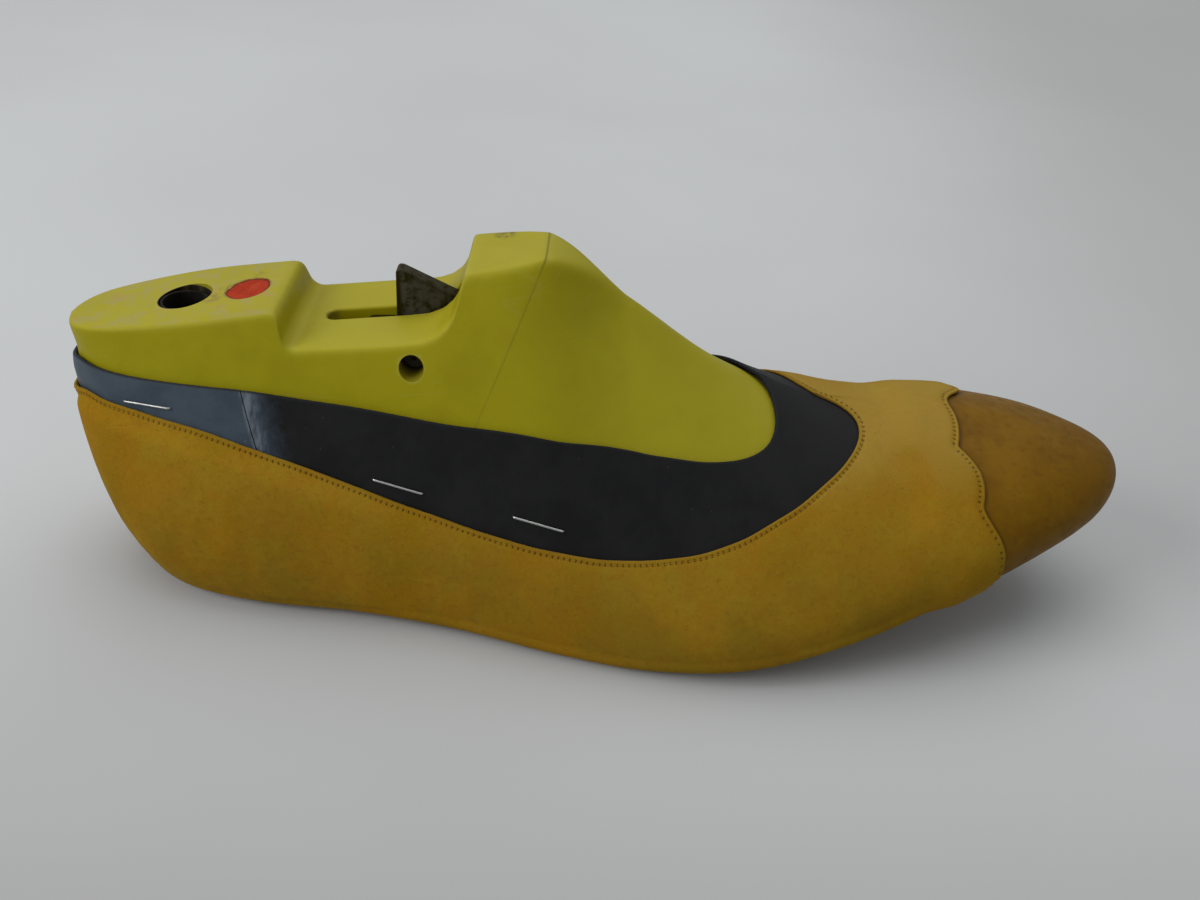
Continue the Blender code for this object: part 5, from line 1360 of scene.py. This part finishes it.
def along_table(table, key, value, at):
    """Value read off a table's line at a key; the keys rise."""
    rows = np.array(sorted(table, key=lambda row: row[key]))
    return np.interp(at, rows[:, key], rows[:, value])


def stiff_zone(t, g):
    """1 where a stiffener lies under the upper, 0 where there is none, with smooth ramps between."""
    heel = 1 - smooth(t, COUNTER_END + 0.01, COUNTER_END + 0.07)
    top = along_table(HEEL_UPPER_TOP, 0, 1, t)
    heel = heel * (1 - smooth(g, top - COUNTER_DROP + 0.02, top - 0.02))
    toe = smooth(t, PUFF_START - 0.07, PUFF_START - 0.01)
    return np.maximum(heel, toe) * smooth(g, -0.35, 0.0)


def cap_low(side, t, g):
    """Inner face of cap and upper: at the lining, and a step further out over a stiffener."""
    return STIFF_IN + UPPER_STEP * stiff_zone(t, g)


def cap_high(side, t, g):
    """Outer face of the cap: the leather's thickness above its inner face."""
    return cap_low(side, t, g) + UPPER


def upper_low(side, t, g):
    """The upper lies close on the lining along its topline, and its front edge climbs over the toe
    cap where the two lap."""
    flat = np.stack([np.ravel(t) * T_SCALE, np.clip(np.ravel(g), 0, 1) * G_SCALE], -1)
    away = [gap_to(flat, upper_line[s] * [T_SCALE, G_SCALE]) for s in (-1, 1)]
    away = np.where(np.broadcast_to(side, np.shape(t)).ravel() < 0, *away).reshape(np.shape(t))
    lap = along_table(CAP_SEAM, 1, 0, np.clip(g, 0, 1)) - LAP
    close = LIES_CLOSER * (1 - smooth(away, 1.0, 6.0)) * smooth(t, 0.02, 0.12)
    return cap_low(side, t, g) - close + (UPPER + GAP) * smooth(t, lap - 0.034, lap - 0.006)


def upper_high(side, t, g):
    """Outer face of the upper: the suede's thickness above its inner face."""
    return upper_low(side, t, g) + UPPER


STITCH_IN = 1.1
CAP_STITCH_IN = 1.2
PITCH = 1.35
STITCH = 0.85
THREAD_R = 0.12


def folds(phase, g):
    """Pleats of a margin, 0.45 mm deep at most: a raised cosine squared, growing under the insole."""
    return 0.45 * (0.5 + 0.5 * np.cos(phase)) ** 2 * smooth(-g, 1.02, 1.5)


def upper_dent(side, t, g, facts):
    """Stitch rows pull the suede in, its edges are skived to about two thirds, the margin lies in pleats
    round the heel, and the hide keeps a slight unevenness, a sum of products of sines."""
    pull = STITCH_PULL * np.exp(-((facts["rim"] - STITCH_IN) / 0.4) ** 2)
    pull = np.maximum(pull, FRONT_PULL * np.exp(-((facts["front"] - CAP_STITCH_IN) / 0.4) ** 2))
    skived = SKIVED * (1 - smooth(facts["rim"], 0.3, 4.0)) * smooth(t, 0.02, 0.12)
    pull = pull + skived + FRONT_SKIVED * (1 - smooth(facts["front"], 0.3, 3.0))
    ends = 1 - smooth(t, 0.10, 0.20)
    pleats = folds(t * 330 + 1.3 * np.sin(t * 70), g) * ends
    uneven = 0.05 * np.sin(t * 61 + g * 7) * np.sin(g * 17 + t * 23) + 0.05 * np.sin(t * 97 - g * 13)
    return pull + pleats + (uneven + 0.08) * smooth(g, -0.2, 0.1) * smooth(facts["rim"], 0.5, 4)


def tan_suede():
    """Brushed suede: mustard, tan and orange clouds, darker in patches low down in a painted shade and
    towards the toe, paler where it looks up in a painted highlight, with a short nap, dark needle holes at
    each stitch and a darker cut edge."""
    f = Finish("tan suede", (0.268, 0.145, 0.007), Sheen_Weight=0.10, Sheen_Roughness=0.3,
               Sheen_Tint=(1.0, 0.80, 0.42, 1.0), Specular_IOR_Level=0.0)
    f.paint(f.use(MOTTLE, Size=0.035), (0.320, 0.197, 0.014))
    f.paint(f.use(MOTTLE, Size=0.009), (0.325, 0.138, 0.009), 0.45)
    clumps = f.noise(700, 4.0, 0.65)
    nap = f.noise(2600, 3.0, 0.7)
    f.paint(f.ramp(clumps, 0.5, 0.72), (0.200, 0.100, 0.008), 0.45)
    f.paint(f.ramp(nap, 0.5, 0.75), (0.47, 0.29, 0.055), 0.3)
    f.paint(f.ramp(f.axis("X"), 0.0, 0.06), (0.150, 0.085, 0.006), 0.28)
    # painted highlight: faces that look up are painted paler
    f.paint(f.ramp(f.facing_up(), 0.80, 1.0), (0.40, 0.305, 0.080), 0.34)
    # painted shade: darker in patches low down, towards the floor
    low = f.ramp(f.axis("Z"), 0.012, 0.050, 1.0, 0.0)
    f.paint(f.times(low, f.ramp(f.noise(60, 4.0, 0.6), 0.3, 0.65)), (0.150, 0.092, 0.009), 0.5)
    f.paint(f.use(SPECKS, Spacing=0.007, Size=0.05, Share=0.3), (0.12, 0.065, 0.008), 0.25)
    f.paint(f.use(SCRATCHES, Scale=38.0, Turn=(0.2, 0.9, -0.2)), (0.46, 0.30, 0.06), 0.06)
    rows = []
    for label, inset in (("rim", STITCH_IN), ("front", CAP_STITCH_IN)):
        depth = f.fact(label)
        across = f.times(f.maths("SUBTRACT", depth, inset), 0.55)
        cell = f.maths("SUBTRACT", f.maths("FRACT", f.maths("DIVIDE", f.fact(label + "_run"), PITCH)), 0.5)
        squares = [f.maths("POWER", value, 2.0) for value in (across, f.times(cell, PITCH))]
        rows.append(f.ramp(f.maths("SQRT", f.maths("ADD", *squares)), 0.12, 0.30, 1.0, 0.0))
        f.paint(f.ramp(depth, 0.15, 0.5, 1.0, 0.0), (0.215, 0.125, 0.012), 0.5)
    holes = f.maths("MAXIMUM", *rows)
    f.paint(holes, (0.060, 0.032, 0.005), 0.75)
    height = f.maths("ADD", f.times(nap, 0.35), f.times(clumps, 0.6))
    height = f.maths("SUBTRACT", height, f.times(holes, 1.2))
    return f.done(f.ramp(clumps, 0.3, 0.7, 0.88, 1.0), height, 0.00022, 0.6)


upper_line = {side: edge_line(UPPER_TOP[side]) for side in (-1, 1)}
front_line = {side: blurred(np.array(SCALLOPS[side]) * [T_SCALE, G_SCALE], 0.15, 0.5)[1] / [T_SCALE, G_SCALE]
              for side in (-1, 1)}
UPPER_ROWS = 58
front_g = np.linspace(0, 1, UPPER_ROWS)
rest = 40 - len(NEAR_RIM)
patches = {}
for side in (-1, 1):
    front_t = np.interp(front_g, front_line[side][::-1, 1], front_line[side][::-1, 0])
    rim_part = fan(side, upper_line[side], 0.762, 124, UPPER_ROWS, lean_from=0.62, lean=0.07)
    last = rim_part[0][-1], rim_part[1][-1]
    span = lengths(np.stack([skin(side, last[0], last[1], 0), skin(side, front_t, front_g, 0)], 1))[:, -1]
    steps = np.array([[*np.linspace(0, 1 - NEAR_RIM[-1] / full, rest + 1)[:-1], *(1 - NEAR_RIM[::-1] / full)]
                      for full in span]).T
    patches[side] = [with_margin(*rim_part), with_margin(*bridge(last, (front_t, front_g), steps))]
front_edge = {side: np.vstack([line, np.stack([np.full(30, line[-1, 0]), np.linspace(0, -2, 30)], -1)])
              for side, line in front_line.items()}
mesh, area = lasted_sheet("suede_upper", patches, upper_low, upper_high, 10.0,
                          {"rim": upper_line, "front": front_edge}, even_from=0.73, dent=upper_dent)
upper = piece("suede_upper_fine", mesh, tan_suede(), "forepart", ["suede_upper"], sharp=60)


def inset_line(side, line, inset):
    """Line moved over the surface by an inset in mm, square to its run: the step in (t, g) solves the
    surface's two slopes for that move."""
    t, g = line.T
    step = 1e-3
    dt = (skin(side, t + step, g, 0) - skin(side, t - step, g, 0)) / (2 * step)
    g1, g0 = np.clip(g + step, 0, 1), np.clip(g - step, 0, 1)
    dg = (skin(side, t, g1, 0) - skin(side, t, g0, 0)) / (g1 - g0)[:, None]
    square = np.cross(wall_normal(side, t, g), unit(np.gradient(skin(side, t, g, 0), axis=0)))
    aa, ab, bb = (dt * dt).sum(1), (dt * dg).sum(1), (dg * dg).sum(1)
    pa, pb = (dt * square).sum(1) * inset, (dg * square).sum(1) * inset
    full = aa * bb - ab * ab
    return np.stack([t + (pa * bb - pb * ab) / full, np.clip(g + (pb * aa - pa * ab) / full, 0, 1)], -1)


def stitching(name, rows, high):
    """Sewn row: one small bent capsule for each stitch, 7 rings of 6 points, laid between two holes
    and sunk at both ends; rows are (side, line) pairs."""
    turn = np.linspace(-1, 1, 7)
    swell = np.sqrt(np.clip(1 - turn ** 8, 0.02, 1)) * THREAD_R
    angle = np.arange(6) * math.pi / 3
    template = np.stack([np.repeat(turn * STITCH / 2, 6), np.outer(swell, np.cos(angle)).ravel(),
                         np.outer(swell, np.sin(angle)).ravel() - np.repeat(turn ** 4 * 0.16, 6)], -1)
    points, faces = [], []
    quads = grid_faces(7, 6, closed=True)
    start = 0
    for side, line in rows:
        t, g = line.T
        path = skin(side, t, g, high(side, t, g))
        run = lengths(path)
        middle = np.arange(PITCH / 2, run[-1] - PITCH / 2, PITCH)
        at, before, after = (read_path(middle + step, run, path) for step in (0, -0.4, 0.4))
        ahead = unit(after - before)
        square = unit(np.cross(wall_normal(side, *read_path(middle, run, line).T), ahead))
        frame_of = np.stack([ahead, square, np.cross(ahead, square)], 1)
        points.append((at[:, None] + np.einsum("pk,nkc->npc", template, frame_of)).reshape(-1, 3))
        offset = start + np.arange(len(at)) * len(template)
        faces.append((quads[None] + offset[:, None, None]).reshape(-1, 4))
        start += len(at) * len(template)
    return mesh_of(name, np.concatenate(points), np.concatenate(faces), merge=0)


def sewing_thread():
    """Twisted thread in the upper's colour, a little darker, with grime from handling."""
    f = Finish("sewing thread", (0.225, 0.115, 0.010), Specular_IOR_Level=0.1)
    f.paint(f.use(MOTTLE, Size=0.008), (0.300, 0.165, 0.018))
    twist = f.noise(3200, 2.0)
    f.paint(f.ramp(twist, 0.5, 0.7), (0.10, 0.05, 0.01), 0.4)
    return f.done(f.ramp(twist, 0.3, 0.7, 0.6, 0.8), twist, 0.00005)


def sunk_high(side, t, g):
    """Height of the thread: the suede's outer face, less the pull of the stitch and the skiving."""
    return upper_high(side, t, g) - 0.10 - 0.34 * smooth(t, 0.02, 0.12)


thread = sewing_thread()
seams = {"topline_stitching": (upper_line, STITCH_IN), "scallop_stitching": (front_line, CAP_STITCH_IN)}
for name, (line, inset) in seams.items():
    rows = [(side, inset_line(side, line[side], side * inset)) for side in (-1, 1)]
    piece(name, stitching(name, rows, sunk_high), thread, "forepart")


# Toe cap: smooth brown leather, skived where it runs under the suede's scallops, moulded over the toe
# puff and burnished darker towards its tip and its lower edge.
def brown_leather():
    """Burnished calf: fine pores and creases, darker to the tip and the feather edge, with a painted shade
    along the suede's scalloped edge, and dull highlights.
    """
    f = Finish("brown leather", (0.150, 0.070, 0.002), Specular_IOR_Level=0.06)
    f.paint(f.use(MOTTLE, Size=0.012), (0.182, 0.090, 0.003))
    lower = f.ramp(f.fact("up"), 0.0, 26.0, 1.0, 0.0)
    tip = f.ramp(f.fact("along"), 222.0, 250.0)
    f.paint(f.maths("MAXIMUM", f.times(lower, 0.7), f.times(tip, 0.8)), (0.118, 0.056, 0.003), 0.5)
    creases = f.noise(420, 4.0, 0.6)
    f.paint(f.ramp(creases, 0.52, 0.72), (0.085, 0.040, 0.008), 0.35)
    # painted shade on the cap just under the suede's scalloped edge
    f.paint(f.ramp(f.fact("front"), 0.0, 1.6, 1.0, 0.0), (0.05, 0.024, 0.006), 0.6)
    f.paint(f.use(SPECKS, Spacing=0.006, Size=0.05, Share=0.3), (0.05, 0.025, 0.008), 0.5)
    pores = f.add("TexVoronoi", {"Vector": f.where, "Scale": 1300.0}, feature="SMOOTH_F1").outputs["Distance"]
    height = f.maths("ADD", f.times(pores, 0.5), f.times(creases, 0.6))
    return f.done(f.ramp(creases, 0.3, 0.7, 0.40, 0.54), height, 0.00009)


cap_rows = 56
cap_g = 1 - np.linspace(1, 0, cap_rows) ** 1.15
seam_t = along_table(CAP_SEAM, 1, 0, cap_g) - LAP
steps = np.repeat(((ring_steps(0.78, 1.0, 84) - 0.78) / 0.22)[:, None], cap_rows, 1)
cap_part = with_margin(*bridge((seam_t, cap_g), (np.ones(cap_rows), cap_g), steps))
lap_g = np.linspace(1, 0, 200)
lap_line = np.stack([along_table(CAP_SEAM, 1, 0, lap_g) - LAP, lap_g], -1)


def cap_dent(side, t, g, facts):
    """The margin lies in pleats round the toe."""
    return folds(t * 420 + 1.1 * np.sin(t * 90), g) * smooth(t, 0.86, 0.93)


mesh, area = lasted_sheet("toe_cap", both([cap_part]), cap_low, cap_high, 8.0, {"lap": both(lap_line)},
                          even_from=0.70, dent=cap_dent)
co = (read(mesh) - HOME) / MM
store(mesh, "front", np.minimum(*(gap_to(co, skin(s, *front_edge[s].T, 4.0)) for s in (-1, 1))))
cap = piece("toe_cap_fine", mesh, brown_leather(), "forepart", ["toe_cap"], sharp=60)


# Floor, light and camera: a pale cloth-like floor, soft daylight from above and a little behind and from
# the left, and the camera high on the lateral side, nearly square to it.
def pale_floor():
    """Pale cloth with slow swells, greyed towards the camera and the right by a painted shade."""
    f = Finish("pale cloth", (0.50, 0.505, 0.505), Specular_IOR_Level=0.2)
    f.paint(f.ramp(f.noise(3.0), 0.3, 0.7), (0.55, 0.56, 0.56))
    # painted shade: the cloth greys towards the camera and the right
    nearer = f.ramp(f.axis("Y"), -0.19, 0.01, 1.0, 0.0)
    f.paint(f.maths("MAXIMUM", nearer, f.ramp(f.axis("X"), 0.06, 0.28, 0.0, 0.6)), (0.345, 0.345, 0.335))
    return f.done(0.95, f.maths("ADD", f.noise(7.0, 2.0), f.times(f.noise(900.0), 0.004)), 0.004)


half = 3.0
corners = [(-half, -half, 0), (half, -half, 0), (half, half, 0), (-half, half, 0)]
floor_mesh = bpy.data.meshes.new("floor")
floor_mesh.from_pydata(corners, [], [(0, 1, 2, 3)])
floor_mesh.materials.append(pale_floor())
new_object("floor", floor_mesh)

world = bpy.data.worlds.new("daylight")
bpy.context.scene.world = world
world.use_nodes = True
world.node_tree.nodes["Background"].inputs["Color"].default_value = (0.93, 0.97, 1.0, 1)
world.node_tree.nodes["Background"].inputs["Strength"].default_value = 0.40


def lamp(name, place, aim, width, power):
    """Square area light at a place, turned to aim at a point."""
    data = bpy.data.lights.new(name, "AREA")
    data.size = width
    data.energy = power
    ob = new_object(name, data)
    ob.location = place
    ob.rotation_euler = (Vector(aim) - Vector(place)).to_track_quat("-Z", "Y").to_euler()


lamp("window", (0.05, 0.55, 1.6), (0, 0, 0), 1.9, 15.5)
lamp("left", (-1.5, -0.7, 0.95), (-0.1, 0, 0), 1.1, 18.0)

LENS = 40.5
SIGHT = math.radians(33.0)
YAW = math.radians(0.4)
ROLL = math.radians(3.8)
AWAY = 0.342
aim = HOME + np.array([0.132, 0, 0.033])
forward = np.array([math.sin(YAW) * math.cos(SIGHT), math.cos(YAW) * math.cos(SIGHT), -math.sin(SIGHT)])
right = np.array([math.cos(YAW), -math.sin(YAW), 0])
upward = np.cross(right, forward)
axis_x = math.cos(ROLL) * right + math.sin(ROLL) * upward
axis_y = -math.sin(ROLL) * right + math.cos(ROLL) * upward
spot = aim - AWAY * forward
camera = new_object("camera", bpy.data.cameras.new("camera"))
camera.data.lens = LENS
camera.data.clip_start = 0.01
rows = np.column_stack([axis_x, axis_y, -forward, spot])
camera.matrix_world = Matrix(np.vstack([rows, [0, 0, 0, 1]]).tolist())
bpy.context.scene.camera = camera
bpy.context.scene.view_settings.view_transform = "Standard"
